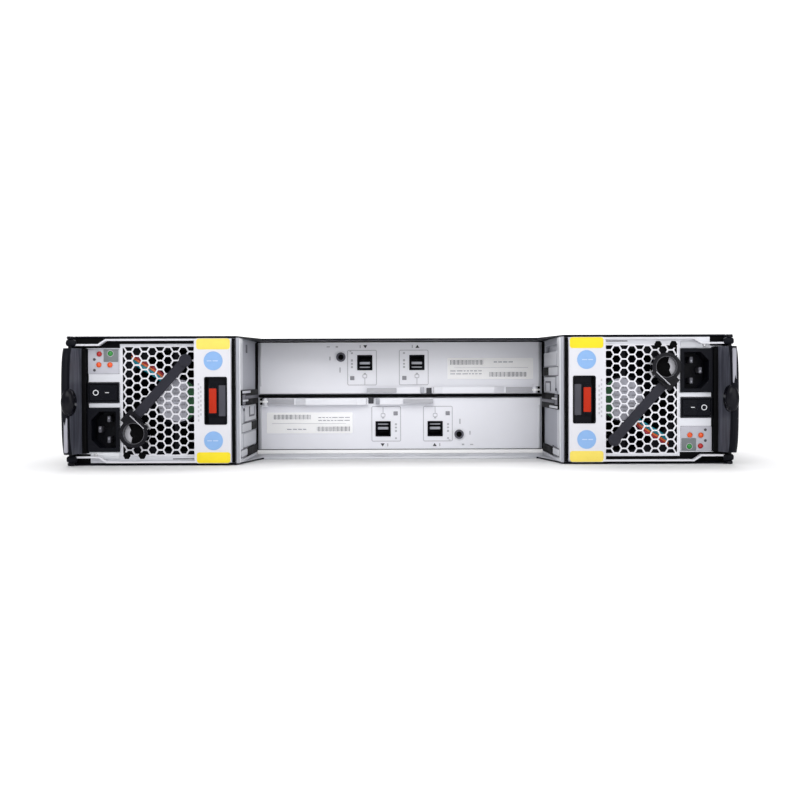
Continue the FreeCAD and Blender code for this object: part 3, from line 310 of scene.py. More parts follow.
# The finish of each node, by how its name begins.
CAD_FINISH = {
    "chassis_tray": BLACK_PAINT, "top_cover": BLACK_PAINT, "module_bay_frame": BAY_STEEL,
    "drive_cage": BAY_STEEL, "midplane": BOARD, "ear_caps": CAP_PLASTIC, "power_case": STEEL,
    "power_grille": GRILLE, "ac_inlet": BLACK_PLASTIC, "power_switch": GLOSS_BLACK,
    "side_grip": GRIP_PLASTIC, "bail_handle": WHITE_PAINT, "bail_latch": BLACK_PLASTIC,
    "cable_strap": NYLON, "cable_clamp": GLOSS_NYLON, "fan_rotor": BLACK_PLASTIC,
    "fan_and_board": BLACK_PLASTIC, "io_case": IO_STEEL, "io_board": BLACK_PLASTIC,
    "io_lever": IO_STEEL, "io_release": IO_STEEL, "drive_carrier": BEZEL_PLASTIC,
    "carrier_handle": GREY_PLASTIC,
}


def dress_frame():
    """Give each node of the frame its finish."""
    for name, item in NODES.items():
        kind = next(kind for kind in CAD_FINISH if name.startswith(kind))
        item.data.materials.clear()
        item.data.materials.append(CAD_FINISH[kind])


# ---------------------------------------------------------------- outlines and solids
# All are drawn in millimetres, with y running away from the viewer.

CORNER_STEPS = 5
SHARP_EDGE = math.radians(35)       # edges sharper than this stay crisp in the shading


def rounded_outline(width, height, corner):
    """Corners of a rounded rectangle about the origin, in order."""
    corner = min(corner, width / 2, height / 2)
    points = []
    for quarter, (sx, sz) in enumerate(((1, 1), (-1, 1), (-1, -1), (1, -1))):
        cx, cz = sx * (width / 2 - corner), sz * (height / 2 - corner)
        for step in range(CORNER_STEPS + 1):
            angle = math.pi / 2 * (quarter + step / CORNER_STEPS)
            points.append((cx + corner * math.cos(angle), cz + corner * math.sin(angle)))
    return points


def arc(radius, degrees):
    """Points of a circle about the origin, at a run of angles."""
    return [(radius * math.cos(math.radians(angle)), radius * math.sin(math.radians(angle)))
            for angle in degrees]


def extruded(outline, y_front, y_back, x=0.0, z=0.0):
    """A solid with an upright outline, between two depths."""
    shape = bmesh.new()
    front = [shape.verts.new((x + u, y_front, z + w)) for u, w in outline]
    back = [shape.verts.new((x + u, y_back, z + w)) for u, w in outline]
    shape.faces.new(front)
    shape.faces.new(back[::-1])
    for i in range(len(outline)):
        j = (i + 1) % len(outline)
        shape.faces.new((front[i], back[i], back[j], front[j]))
    return shape


def plate(x, z, width, height, y_front, y_back, corner):
    """A plate with rounded corners, seen upright."""
    return extruded(rounded_outline(width, height, corner), y_front, y_back, x, z)


def turned(profile, x, y, z, steps):
    """A solid of revolution about a line along Y: profile is (radius, depth) pairs."""
    shape = bmesh.new()
    rings = []
    for radius, depth in profile:
        if radius <= 0:
            rings.append([shape.verts.new((x, y + depth, z))])
            continue
        angles = [2 * math.pi * k / steps for k in range(steps)]
        rings.append([shape.verts.new((x + radius * math.cos(angle), y + depth,
                                       z + radius * math.sin(angle))) for angle in angles])
    for near, far in zip(rings, rings[1:]):
        for k in range(steps):
            n = (k + 1) % steps
            if len(near) == 1:
                shape.faces.new((near[0], far[k], far[n]))
            elif len(far) == 1:
                shape.faces.new((near[k], near[n], far[0]))
            else:
                shape.faces.new((near[k], near[n], far[n], far[k]))
    return shape


def upright(profile, x, y, z, steps=28):
    """A solid of revolution about a line along Z: profile is (radius, height) pairs."""
    shape = turned(profile, 0, 0, 0, steps)
    shape.transform(Matrix.Translation((x, y, z)) @ Matrix.Rotation(math.pi / 2, 4, "X"))
    return shape


def disc(x, z, radius, y_front, y_back, steps):
    """A flat disc with a broken front edge."""
    edge = min(0.15, (y_back - y_front) / 2)
    profile = [(0, y_front), (radius - edge, y_front), (radius, y_front + edge), (radius, y_back)]
    return turned(profile, x, 0.0, z, steps)


def ring(x, z, outer, inner, y_front, y_back, steps=32):
    """A flat ring, open at the back."""
    profile = [(inner, y_back), (inner, y_front), (outer, y_front), (outer, y_back)]
    return turned(profile, x, 0.0, z, steps)


def frame_line(x, z, width, height, line, y_front, y_back, corner):
    """A thin printed outline: four rounded runs round a rectangle."""
    outer = rounded_outline(width, height, corner)
    inner = rounded_outline(width - 2 * line, height - 2 * line, max(corner - line, 0.05))
    shape = bmesh.new()
    rows = [[shape.verts.new((x + u, y, z + w)) for u, w in outline]
            for outline, y in ((outer, y_front), (outer, y_back),
                               (inner, y_back), (inner, y_front))]
    count = len(outer)
    for near, far in zip(rows, rows[1:] + rows[:1]):
        for i in range(count):
            j = (i + 1) % count
            shape.faces.new((near[i], near[j], far[j], far[i]))
    return shape


def tube(points, radius):
    """A round wire through points."""
    curve = bpy.data.curves.new("wire", "CURVE")
    curve.dimensions = "3D"
    spline = curve.splines.new("NURBS")
    spline.points.add(len(points) - 1)
    for point, place in zip(spline.points, points):
        point.co = (*place, 1)
    spline.order_u = 3
    spline.use_endpoint_u = True
    curve.bevel_depth = radius
    curve.bevel_resolution = 2
    holder = bpy.data.objects.new("wire", curve)
    mesh = bpy.data.meshes.new_from_object(holder)
    shape = bmesh.new()
    shape.from_mesh(mesh)
    bpy.data.objects.remove(holder)
    return shape


def join(*shapes):
    """One bmesh out of several."""
    whole = bmesh.new()
    for shape in shapes:
        mesh = bpy.data.meshes.new("part")
        shape.to_mesh(mesh)
        shape.free()
        whole.from_mesh(mesh)
        bpy.data.meshes.remove(mesh)
    return whole


def uneven(seed):
    """A repeatable share between 0 and 1 that jumps about from one whole number to the next."""
    return seed * 0.618 % 1


def generic_lines(x, z, width, height, rows, y_front, y_back, seed):
    """Plain bars laid out in rows, where a label carries words."""
    shortest, spare, gap, least = 1.4, 3.1, 0.7, 0.8
    parts = []
    pitch = height / rows
    right = x + width / 2
    for row in range(rows):
        left = x - width / 2
        level = z + height / 2 - (row + 0.5) * pitch
        step = 0
        while left < right - least:
            step += 1
            length = min(shortest + spare * uneven(seed + 3 * row + 5 * step), right - left)
            parts.append(plate(left + length / 2, level, length, pitch * 0.36,
                               y_front, y_back, 0.1))
            left += length + gap
    return join(*parts)


def upright_bars(x, z, width, height, count, y_front, y_back, seed):
    """A block of plain upright bars of uneven width."""
    pitch = width / count
    parts = []
    for k in range(count):
        bar = pitch * (0.3 + 0.45 * uneven(seed + 7 * k))
        parts.append(plate(x - width / 2 + (k + 0.5) * pitch, z, bar, height,
                           y_front, y_back, 0.02))
    return join(*parts)


# ---------------------------------------------------------------- pieces

def add(name, shape, body, material, place, bevel=0.0):
    """Turn a bmesh drawn in millimetres into a piece that rides on a body."""
    shape.transform(place)
    bmesh.ops.recalc_face_normals(shape, faces=shape.faces)
    mesh = bpy.data.meshes.new(name)
    shape.to_mesh(mesh)
    shape.free()
    mesh.materials.append(material)
    for face in mesh.polygons:
        face.use_smooth = True
    piece = bpy.data.objects.new(name, mesh)
    bpy.context.collection.objects.link(piece)
    if bevel:
        rounding = piece.modifiers.new("rounding", "BEVEL")
        rounding.width = bevel * MM
        rounding.segments = 2
        rounding.limit_method = "ANGLE"
    split = piece.modifiers.new("edges", "EDGE_SPLIT")
    split.split_angle = SHARP_EDGE
    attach(piece, body)
    return piece


SHEET_BEVEL = 0.05


class Lay:
    """Lays pieces on one module, drawn behind its face and above its mid height.

    Sizes are read from the module that isn't turned, and the turn comes last."""

    def __init__(self, suffix, turn, face_y, mid_z):
        self.suffix = suffix
        self.origin = Vector((0, face_y, mid_z))
        self.place = turn @ drawing_at(face_y, mid_z)

    def box(self, node_name):
        """Lowest and highest corner of a node, in the module's millimetres."""
        return [(corner - self.origin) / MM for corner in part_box(node_name)]

    def add(self, name, shape, body, slot, material, bevel=0.0):
        return add(f"{name}_{self.suffix}", shape, body, material, self.place, bevel)

    def sheet(self, name, x, z, width, height, proud, thick, body, slot, material, corner):
        """A thin plate whose front stands proud of the module's face."""
        shape = plate(x, z, width, height, -proud, thick - proud, corner)
        self.add(name, shape, body, slot, material, SHEET_BEVEL)


# ---------------------------------------------------------------- power modules

INLET_Z = -19.2             # middle of the three-pin inlet
APERTURE_X = -122.2         # middle of the bail handle's opening for its latch


def lamp_panel(lay, column, module):
    """Grey film with a darker window, four lamps in their bezels and two dark marks."""
    lay.sheet("lamp_panel", column, 26.4, 20.6, 16.5, 0.35, 0.6, module, "power_steel",
              PANEL_GREY, 0.6)
    lay.sheet("lamp_window", column + 5.0, 30.3, 9.8, 8.4, 0.5, 0.3, module, "power_steel",
              WINDOW_GREY, 0.5)
    dome = [(0, -1.0), (0.8, -0.92), (1.4, -0.65), (1.75, -0.2), (1.8, 0.3)]
    lamps = (("lamp_a", -2.8, 31.4, RED_LAMP), ("lamp_b", 4.6, 31.7, GREEN_LAMP),
             ("lamp_c", -3.1, 24.2, ORANGE_LAMP), ("lamp_d", 4.3, 24.1, ORANGE_LAMP))
    for name, across, z, lens in lamps:
        x = column + across
        lay.add(name, turned(dome, x, -0.35, z, 28), module, "latch_plastic", lens)
        lay.add(f"{name}_bezel", ring(x, z, 2.2, 1.82, -0.6, -0.1), module, "power_steel",
                FINE_GREY, 0.1)
    for name, z in (("mark_a", 27.8), ("mark_b", 20.6)):
        lay.add(name, disc(column - 6.1, z, 1.0, -0.45, -0.2, 24), module, "inlet_plastic", INK)


def face_details(lay, module):
    """Black sheets of painted shade in the gaps, recesses and slot of the face and in two half
    cells of the grille, and the foot's flange and screw.
    """
    strips = (  # name, x, z, width, height, how far it stands proud
        ("shade_corner", -203.2, 38.4, 32.6, 6.2, 0.25),
        ("shade_top", -161.7, 39.7, 50.6, 3.4, 0.25),
        ("shade_grip", -209.8, 0.0, 3.8, 69.8, 0.3),
        ("shade_inner", -111.2, 0.0, 2.3, 82.9, 0.3),
        ("shade_foot_corner", -212.0, -38.5, 10.0, 6.0, 0.25),
        ("shade_slot", -144.5, -38.9, 15.0, 0.6, 0.12),
        ("shade_foot", -166.0, -41.0, 58.0, 0.8, 0.2))
    # Each strip is a black sheet of painted shade.
    for name, x, z, width, height, proud in strips:
        lay.sheet(name, x, z, width, height, proud, proud + 0.1, module, "inlet_plastic",
                  SHADOW_BLACK, 0.2)
    # Two half cells of the grille beyond its rim, black as painted shade in the holes.
    cell = arc(2.6, range(0, 360, 60))
    for name, x in (("cell_a", -182.8), ("cell_b", -172.5)):
        lay.add(name, extruded(cell, -0.1, 0.1, x, -36.6), module, "inlet_plastic", SHADOW_BLACK)
    lay.sheet("foot_flange", -197.0, -36.6, 19.0, 4.6, 0.45, 0.5, module, "power_steel",
              BRIGHT_STEEL, 0.4)
    head = [(0, -0.9), (0.8, -0.8), (1.2, -0.4), (1.25, 0.2)]
    lay.add("flange_screw", turned(head, -203.3, -0.45, -36.2, 24), module, "power_steel",
            BARE_METAL)


def rocker_marks(lay, side):
    """The O and the bar on the rocker's two slopes, and the frames of rocker and inlet."""
    low, high = lay.box("power_switch_left")
    x, z = (low.x + high.x) / 2, (low.z + high.z) / 2
    ink = (-0.12, 0.3)
    marks = (   # name, place across, depth below the rocker's highest edge, lean, shape
        ("switch_ring", -5.0, 1.45 * 4 / 9, 9.5, ring(0, 0, 1.9, 1.35, *ink)),
        ("switch_bar", 2.3, 1.565, 2.4, plate(0, 0, 2.6, 0.5, *ink, 0.2)))
    for name, across, depth, lean, shape in marks:
        shape.transform(Matrix.Translation((x + across, low.y + depth, z))
                        @ Matrix.Rotation(math.radians(lean), 4, "Z"))
        lay.add(name, shape, f"rocker_{side}", "switch_plastic", WHITE_INK)
    for name, level, height, line in (("rocker_frame", 5.6, 14.2, 1.0),
                                      ("inlet_frame", INLET_Z, 29.6, 0.7)):
        lay.add(name, frame_line(x, level, 21.2, height, line, -0.5, 0.1, 0.6),
                f"power_module_{side}", "inlet_plastic", CAP_PLASTIC, 0.12)


def inlet_sleeves(lay, column, module):
    """Plated sleeves over the inlet's three pins, each with a small painted glint."""
    for name, across, rise in (("sleeve_top", 2.0, 7.0), ("sleeve_foot", 2.0, -7.0),
                               ("sleeve_earth", -4.0, 0.0)):
        x, z = column + across, INLET_Z + rise
        lay.add(name, plate(x, z, 2.12, 4.12, 5.45, 15.4, 0.5), module, "port_metal",
                DARK_STEEL, 0.15)
        # A small grey patch on each sleeve is a painted glint.
        lay.add(f"{name}_tip", plate(x, z + 0.6, 1.0, 1.2, 5.3, 5.6, 0.4), module,
                "port_metal", BAY_STEEL)


def fan_details(lay, module):
    """Label on the fixed hub, and the leads that run from the frame's corner to the hub."""
    low, high = lay.box("fan_and_board_left")
    x, z, front, radius = -149.0, (low.z + high.z) / 2, 5.0, 14.2
    ink = (front - 0.4, front - 0.2)
    lay.add("fan_label", disc(x, z, radius, front - 0.25, front + 0.1, 56), module,
            "fan_plastic", HUB_GREY)
    lay.add("fan_label_chord", extruded(arc(radius, range(-66, 67, 6)), *ink, x, z), module,
            "fan_plastic", LABEL_GREEN)
    lay.add("fan_label_lines", generic_lines(x - 4.0, z, 17.0, 18.0, 7, *ink, 3), module,
            "fan_plastic", LABEL_GREY)
    route = ((-184.0, 32.5, 2.5), (-176.0, 27.0, -1.4), (-168.0, 22.5, -1.6),
             (-161.0, 18.0, -1.4), (-156.0, 12.5, 2.0))     # x, rise, depth from the hub's face
    for name, drop, material in (("lead_red", -1.6, RED_WIRE), ("lead_orange", 0.2, ORANGE_WIRE),
                                 ("lead_teal", 2.0, TEAL_WIRE), ("lead_teal_b", 3.7, TEAL_WIRE)):
        points = [(px, front + depth, z + rise - drop) for px, rise, depth in route]
        lay.add(name, tube(points, 0.85), module, "fan_plastic", material)


def bail_details(lay, side):
    """Coloured bands and discs, print beside the opening, and the latch's well, black as painted
    shade.
    """
    bail, latch = f"bail_{side}", f"latch_{side}"
    low, high = lay.box("bail_handle_left")
    panel_x, front = high.x - 11.55, low.y
    for name, sign, finish in (("band_top", 1, SOFT_YELLOW), ("band_foot", -1, YELLOW)):
        band_z, disc_z = sign * 37.7, sign * 26.5
        lay.add(name, plate(panel_x, band_z, 22.3, 7.2, front - 0.12, front + 0.1, 1.8), bail,
                "bail_paint", finish, 0.04)
        lay.add(f"{name}_disc", disc(panel_x, disc_z, 6.3, front - 0.15, front + 0.1, 48), bail,
                "bail_paint", BLUE)
        bars = generic_lines(panel_x, disc_z, 8.4, 2.0, 1, front - 0.3, front - 0.1, 4)
        lay.add(f"{name}_line", bars, bail, "bail_paint", PALE_BLUE)
    ticks = [(-133.6, z) for z in range(-13, 12, 3)] + [(-132.1, z) for z in range(-9, 12, 3)]
    lay.add("bail_print", join(*[plate(x, z, 1.0, 1.5, front - 0.08, front + 0.05, 0.1)
                                 for x, z in ticks]), bail, "bail_paint", FINE_GREY)
    for name, sign in (("arm_sleeve_top", 1), ("arm_sleeve_foot", -1)):
        lay.add(name, plate(-217.9, sign * 38.6, 7.0, 4.3, front - 0.35, front + 1.6, 1.6), bail,
                "latch_plastic", BLACK_PLASTIC, 0.5)
    # The latch's well is a black sheet of painted shade.
    lay.add("latch_well", plate(APERTURE_X, 0, 15.6, 32.6, front + 3.6, front + 4.2, 0.6), bail,
            "inlet_plastic", SHADOW_BLACK, 0.1)
    lay.add("aperture_rim", frame_line(APERTURE_X, 0, 15.2, 31.8, 0.7, front - 0.25, front + 0.3,
                                       1.2), bail, "inlet_plastic", BLACK_PLASTIC)
    low, high = lay.box("bail_latch_left")
    lay.add("latch_tab", plate(low.x + 3.2, 0, 4.9, 16.4, low.y - 0.25, low.y + 0.5, 0.6), latch,
            "latch_plastic", RED_PLASTIC, 0.2)
    lay.add("latch_pad", plate(high.x - 2.1, 0, 4.6, 20.6, low.y + 1.6, low.y + 2.3, 0.5), latch,
            "latch_plastic", GREY_PLASTIC, 0.2)


def clamp_details(lay, side):
    """The lining of the clamp's ring, with a painted reflection and painted shade inside it, and
    a painted glint along the foot's edge.
    """
    clamp = f"clamp_{side}"
    front = lay.box("cable_clamp_left")[0].y
    x, z = -176.31, -21.5
    lay.add("clamp_lining", ring(x, z, 7.35, 6.7, front + 0.4, front + 7.0, 40), clamp,
            "port_metal", CLEAR_GREY, 0.15)
    # A grey crescent inside the ring is a painted reflection.
    crescent = arc(7.2, range(128, 249, 8)) + arc(3.4, range(236, 139, -8))
    lay.add("clamp_reflection", extruded(crescent, front + 5.2, front + 6.0, x, z), clamp,
            "port_metal", STRIP_GREY, 0.1)
    # A black disc behind the ring is painted shade, hiding the grille.
    lay.add("clamp_dark", disc(x, z, 6.65, front + 6.2, front + 6.6, 40), clamp,
            "port_metal", SHADOW_BLACK)
    # A thin grey strip is a painted glint along the foot's edge.
    edge = plate(0, 0, 12.6, 0.5, front - 0.15, front + 2.0, 0.15)
    edge.transform(Matrix.Translation((-174.0, 0, -13.9))
                   @ Matrix.Rotation(math.radians(43.0), 4, "Y"))
    lay.add("clamp_glint", edge, clamp, "port_metal", STRIP_GREY)


GRIP_WIDTH, GRIP_FLOOR = 12.3, 3.2      # the grip's width, and how far its low side stands out
GRIP_HALF = 35.0                        # half the grip's height
GRIP_LEVELS = 36
RIM_SETBACK = 1.7                       # the rim stays this far behind the thumb rest's top
RIM_EDGE, RIM_FALL = 5.9, 2.2           # where the rolled rim ends, and how far it has come down
SCOOP_STEPS = 8
SCOOP_POWER = 2.1                       # the higher, the steeper the scoop beside the rim


def grip_profile(reach):
    """Half-plan of the grip, from its outer edge over the rim and down the scoop."""
    points = [(0.0, 0.0), (0.0, reach - 4.2), (0.5, reach - 2.0), (1.7, reach - 0.5),
              (3.2, reach), (4.7, reach - 0.5), (RIM_EDGE, reach - RIM_FALL)]
    drop = reach - RIM_FALL - GRIP_FLOOR
    for step in range(1, SCOOP_STEPS + 1):
        share = step / SCOOP_STEPS
        points.append((RIM_EDGE + (GRIP_WIDTH - RIM_EDGE) * share,
                       GRIP_FLOOR + drop * (1 - share) ** SCOOP_POWER))
    return points + [(GRIP_WIDTH, 0.0)]


def grip_strip(x, full_reach, first, last):
    """One strip of the grip, lofted up its height between two points of the profile."""
    rows = []
    shape = bmesh.new()
    for step in range(GRIP_LEVELS + 1):
        z = GRIP_HALF * math.sin(math.pi / 2 * (2 * step / GRIP_LEVELS - 1))
        ease = abs(z) / GRIP_HALF       # 0 at mid height, 1 at both ends, where the fin is lower
        reach = (full_reach - RIM_SETBACK) * (1 - 0.16 * ease ** 6) - 2.2 * ease ** 2
        run = grip_profile(reach)[first:last + 1]
        if first:
            run = [(run[0][0], 0.0)] + run
        if run[-1][1] > 0:
            run = run + [(run[-1][0], 0.0)]
        rows.append([shape.verts.new((x + u, -w, z)) for u, w in run])
    for near, far in zip(rows, rows[1:]):
        for i in range(len(near) - 1):
            shape.faces.new((near[i], near[i + 1], far[i + 1], far[i]))
        shape.faces.new((near[-1], near[0], far[0], far[-1]))
    shape.faces.new(rows[0])
    shape.faces.new(rows[-1][::-1])
    return shape


def side_grip(lay, side):
    """Scooped fin with a rolled rim, an oval thumb rest, a painted reflection of the floor down
    its lower half and hinge knuckles; the scoop's root is black as painted shade.
    """
    low, high = lay.box("side_grip_left")
    x, front = low.x, low.y

    def grip_piece(name, shape, material, bevel=0.0):
        piece = lay.add(name, shape, f"power_module_{side}", "grip_plastic", material, bevel)
        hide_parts(f"side_grip_{side}")

    # The root of the scoop is black: painted shade where the scoop meets the face.
    for name, first, last, material in (("grip_rim", 0, 6, BLACK_PLASTIC),
                                        ("grip_body", 6, 11, GRIP_PLASTIC),
                                        ("grip_root", 11, 15, SHADOW_BLACK)):
        grip_piece(name, grip_strip(x, high.y - low.y, first, last), material)

    dome = [(0, -3.3), (0.35, -3.25), (0.62, -2.9), (0.85, -2.1), (0.97, -1.0), (1.0, 0.0),
            (1.0, 5.0)]
    rest = turned(dome, 0, 0, 0, 40)
    rest.transform(Matrix.Translation((x + 5.0, front + 3.35, -0.6))
                   @ Matrix.Diagonal((4.6, 1.0, 9.2, 1.0)))
    grip_piece("grip_rest", rest, GLOSS_NYLON)
    # A grey strip down the lower half is a painted reflection of the floor.
    lay.add("grip_inset", plate(x + 3.6, -22.0, 2.4, 23.0, front + 2.2, front + 4.4, 1.0),
            f"power_module_{side}", "grip_plastic", REFLECTION_GREY, 0.3)
    base = join(plate(x + 6.2, 0, GRIP_WIDTH, 70.4, -1.6, 0, 0.8),
                plate(x + 2.6, 0, 5.2, 86.0, -1.6, 0, 0.8))
    grip_piece("grip_base", base, BLACK_PLASTIC, 0.3)

    pivot = (x + 2.4, -4.3)
    cap = [(0, -1.1), (1.4, -1.05), (2.1, -0.75), (2.4, -0.2), (2.4, 0.8), (2.0, 1.1), (0, 1.15)]
    pin = [(0, -3.9), (1.35, -3.9), (1.35, 3.9), (0, 3.9)]
    for name, sign in (("knuckle_top", 1), ("knuckle_foot", -1)):
        knuckle = join(upright(cap, *pivot, sign * 42.0), upright(pin, *pivot, sign * 38.2, 24),
                       plate(x + 2.4, sign * 42.0, 4.6, 2.2, -4.4, 0, 0.7))
        grip_piece(name, knuckle, GLOSS_NYLON)


def power_pieces(side):
    lay = Lay(side, POWER_SIDES[side], FACE_Y, MID_Z)
    module = f"power_module_{side}"
    column = middle("power_switch_left").x / MM
    lamp_panel(lay, column, module)
    face_details(lay, module)
    rocker_marks(lay, side)
    inlet_sleeves(lay, column, module)
    fan_details(lay, module)
    bail_details(lay, side)
    clamp_details(lay, side)
    side_grip(lay, side)


# ---------------------------------------------------------------- input/output modules

PORTS = ((-28.25, -26.2, -1), (10.35, 12.7, 1))     # x of outline and socket, way of the arrow
JACK_X, JACK_Z = -44.0, 28.9
FACE_PRINT = (-0.1, 0.05)           # front and back of the print on the face
LABEL_PRINT = (-0.2, -0.1)          # front and back of the print on the label


def port_print(lay, module, number, centre, port, up):
    """Printed outline, arrow, lamp square and plug sign of one port, and its contacts."""
    def print_on(name, shape, material=FINE_GREY):
        lay.add(f"{name}_{number}", shape, module, "io_steel", material)

    print_on("port_frame", frame_line(centre, 21.0, 22.0, 26.4, 0.5, -0.08, 0.05, 1.2))
    arrow = [(-1.5, -1.1 * up), (1.5, -1.1 * up), (0, 1.3 * up)]
    print_on("port_mark", extruded(arrow, *FACE_PRINT, port + 0.4, 36.7), INK)
    print_on("port_digit", plate(port - 3.4, 36.7, 0.8, 2.2, *FACE_PRINT, 0.1))
    lay.sheet(f"port_lamp_{number}", port - 9.4, 13.2, 3.2, 3.0, 0.25, 0.4, module, "io_steel",
              LABEL_GREY, 0.3)
    print_on("port_icon", join(frame_line(port, 14.6, 3.4, 3.0, 0.5, *FACE_PRINT, 0.8),
                               plate(port, 10.6, 0.5, 5.0, *FACE_PRINT, 0.1),
                               plate(port, 16.6, 1.6, 0.9, *FACE_PRINT, 0.1)))
    print_on("port_side", join(*[plate(port - 9.6, z, 1.5, tall, *FACE_PRINT, 0.1) for z, tall in
                                 ((31.8, 1.2), (26.4, 1.6), (23.8, 1.2), (21.4, 1.4))]))
    for name, z, thick in (("high", 24.4, 1.9), ("low", 21.3, 1.0)):
        lay.sheet(f"port_contact_{number}_{name}", port, z, 7.8, thick, -1.6, 4.0, module,
                  "port_metal", BAY_STEEL, 0.3)


def face_label(lay, module):
    """White film with two blocks of plain bars and a few thin lines."""
    # The label's white glows a little: painted light.
    lay.sheet("face_label", 67.5, 20.1, 63.8, 15.4, 0.12, 0.2, module, "io_steel",
              GLOWING_WHITE, 0.5)
    bars = join(upright_bars(50.0, 24.7, 25.0, 3.6, 26, *LABEL_PRINT, 3),
                upright_bars(80.5, 15.7, 28.0, 3.6, 28, *LABEL_PRINT, 5))
    lay.add("face_label_bars", bars, module, "io_steel", LABEL_GREY)
    lines = join(generic_lines(78.0, 24.9, 16.0, 2.6, 1, *LABEL_PRINT, 7),
                 generic_lines(50.0, 17.2, 25.0, 4.4, 2, *LABEL_PRINT, 11),
                 plate(68.0, 20.6, 56.0, 0.3, *LABEL_PRINT, 0.1))
    lay.add("face_label_lines", lines, module, "io_steel", FINE_GREY)


def jack_details(lay, module):
    """The jack's nut, painted shade in its bore, and the marks printed round it."""
    lay.add("jack_ring", ring(JACK_X, JACK_Z, 3.5, 2.1, -1.75, -1.3), module, "port_metal",
            DARK_STEEL, 0.15)
    # A black disc of painted shade in the bore.
    lay.add("jack_dark", disc(JACK_X, JACK_Z, 1.75, -0.6, -0.2, 28), module, "port_metal",
            SHADOW_BLACK)
    marks = ((-53.4, 36.6, 2.4, 0.8), (-47.0, 36.6, 1.8, 1.2), (-52.2, 27.9, 0.9, 2.8),
             (-44.7, 19.3, 0.9, 3.8), (-36.9, 33.2, 1.4, 0.6))
    lay.add("jack_print", join(*[plate(x, z, width, height, *FACE_PRINT, 0.1)
                                 for x, z, width, height in marks]),
            module, "io_steel", FINE_GREY)


def io_pieces(level):
    lay = Lay(level, IO_LEVELS[level], IO_FACE_Y, IO_MID_Z)
    module, lever, release = f"io_module_{level}", f"lever_{level}", f"release_{level}"
    for number, port in enumerate(PORTS):
        port_print(lay, module, number, *port)
    face_label(lay, module)
    jack_details(lay, module)
    face, dark = (module, "io_steel"), (module, "inlet_plastic")
    bar, catch = (lever, "lever_plastic"), (release, "release_plastic")
    sheets = (  # name, x, z, width, height, proud, thick, body and slot, material, corner
        ("lever_shadow", 60.0, 1.75, 82.0, 0.5, 0.15, 0.25, *face, DARK_STEEL, 0.1),
        ("catch_dark", 21.6, 3.4, 3.8, 4.8, 0.6, 0.7, *dark, CAP_PLASTIC, 0.4),
        ("lever_grip", 88.6, 4.1, 20.0, 4.2, 4.75, 0.5, *bar, STRIP_GREY, 0.3),
        # The lever's end is painted shade in the darker steel.
        ("lever_end", 26.0, 4.1, 2.2, 4.6, 4.75, 0.5, *bar, DARK_STEEL, 0.3),
        # Black sheet of painted shade round the pin; the pin and the lever's tip glow a little as
        # painted light.
        ("pin_dark", 102.3, 4.2, 4.4, 4.8, 0.25, 0.35, *dark, SHADOW_BLACK, 0.3),
        ("pin_plate", 103.0, 4.1, 3.2, 1.3, 0.6, 0.6, *face, GLOWING_WHITE, 0.3),
        ("lever_tip", 100.3, 4.1, 4.2, 1.4, 4.95, 0.6, *bar, GLOWING_WHITE, 0.3),
        # The flanges are darker than the face: painted shade on the folds.
        ("flange_outer", -104.0, 23.4, 1.2, 32.4, 0.15, 0.25, *face, BRIGHT_STEEL, 0.2),
        ("flange_inner", 104.0, 23.4, 1.2, 32.4, 0.15, 0.25, *face, BRIGHT_STEEL, 0.2),
        ("release_strip", -13.5, 4.1, 21.8, 3.4, 7.0, 0.8, *catch, STRIP_GREY, 0.4),
        ("release_step", 16.5, 4.1, 2.8, 4.4, 5.75, 0.5, *catch, BAY_STEEL, 0.3))
    for sheet in sheets:
        lay.sheet(*sheet)


# ---------------------------------------------------------------- recess

# Pieces on the wall: name, nearer and farther end behind the rear face, lowest and highest
# level from mid height, how far it stands off the wall, material, corner.
WALL_PIECES = (
    ("wall_rim", 0.2, 13.5, -41.4, 41.4, 0.9, BRIGHT_STEEL, 0.3),
    # Painted shade: the fold's crease, the slot and the back edge.
    ("wall_fold", 14.2, 15.4, -41.0, 41.0, 0.5, DARK_STEEL, 0.3),
    ("wall_slot_shade", 38.0, 45.0, 32.6, 38.4, 0.4, DARK_STEEL, 0.5),
    ("wall_back_dark", 95.6, 99.4, -41.0, 41.0, 0.6, SHADOW_BLACK, 0.3),
    # The bracket is black as painted shade, with two painted highlights along its front.
    ("bracket_back", 1.0, 97.0, -3.4, 6.9, 2.0, SHADOW_BLACK, 0.8),
    ("bracket_near", 1.6, 17.0, -3.0, 3.8, 2.2, DARK_STEEL, 0.8),
    ("bracket_highlight", 2.0, 46.0, 4.7, 6.3, 2.35, BRIGHT_STEEL, 0.6),
    ("bracket_highlight_low", 3.0, 32.0, -0.9, 0.3, 2.35, BRIGHT_STEEL, 0.5),
    ("bracket_tongue", 16.0, 96.0, 0.7, 2.9, 2.5, DARK_STEEL, 0.8),
    # Painted shade round the raised panel and in its U slot; the panel and its tongue are the
    # lighter copy, partly painted light.
    ("panel_shade", 23.0, 90.5, -15.5, -3.7, 0.9, DARK_STEEL, 0.8),
    ("panel_low", 24.0, 89.0, -14.9, -3.9, 1.1, BRIGHT_STEEL, 1.0),
    ("panel_slot", 46.0, 80.0, -12.2, -4.9, 1.25, DARK_STEEL, 1.2),
    ("panel_tongue", 52.0, 74.0, -10.9, -4.5, 1.45, BRIGHT_STEEL, 0.8),
    # Painted shade round the window and in its far end.
    ("window_frame", 6.0, 97.0, -22.4, -15.7, 0.95, DARK_STEEL, 0.5),
    ("window_near", 8.0, 60.0, -21.8, -16.3, 1.2, BRIGHT_STEEL, 0.5),
    ("dark_window", 60.5, 96.5, -22.0, -16.1, 1.2, SHADOW_BLACK, 0.5),
    ("wall_panel_foot", 18.0, 89.0, -32.6, -23.3, 1.05, BRIGHT_STEEL, 0.6),
)
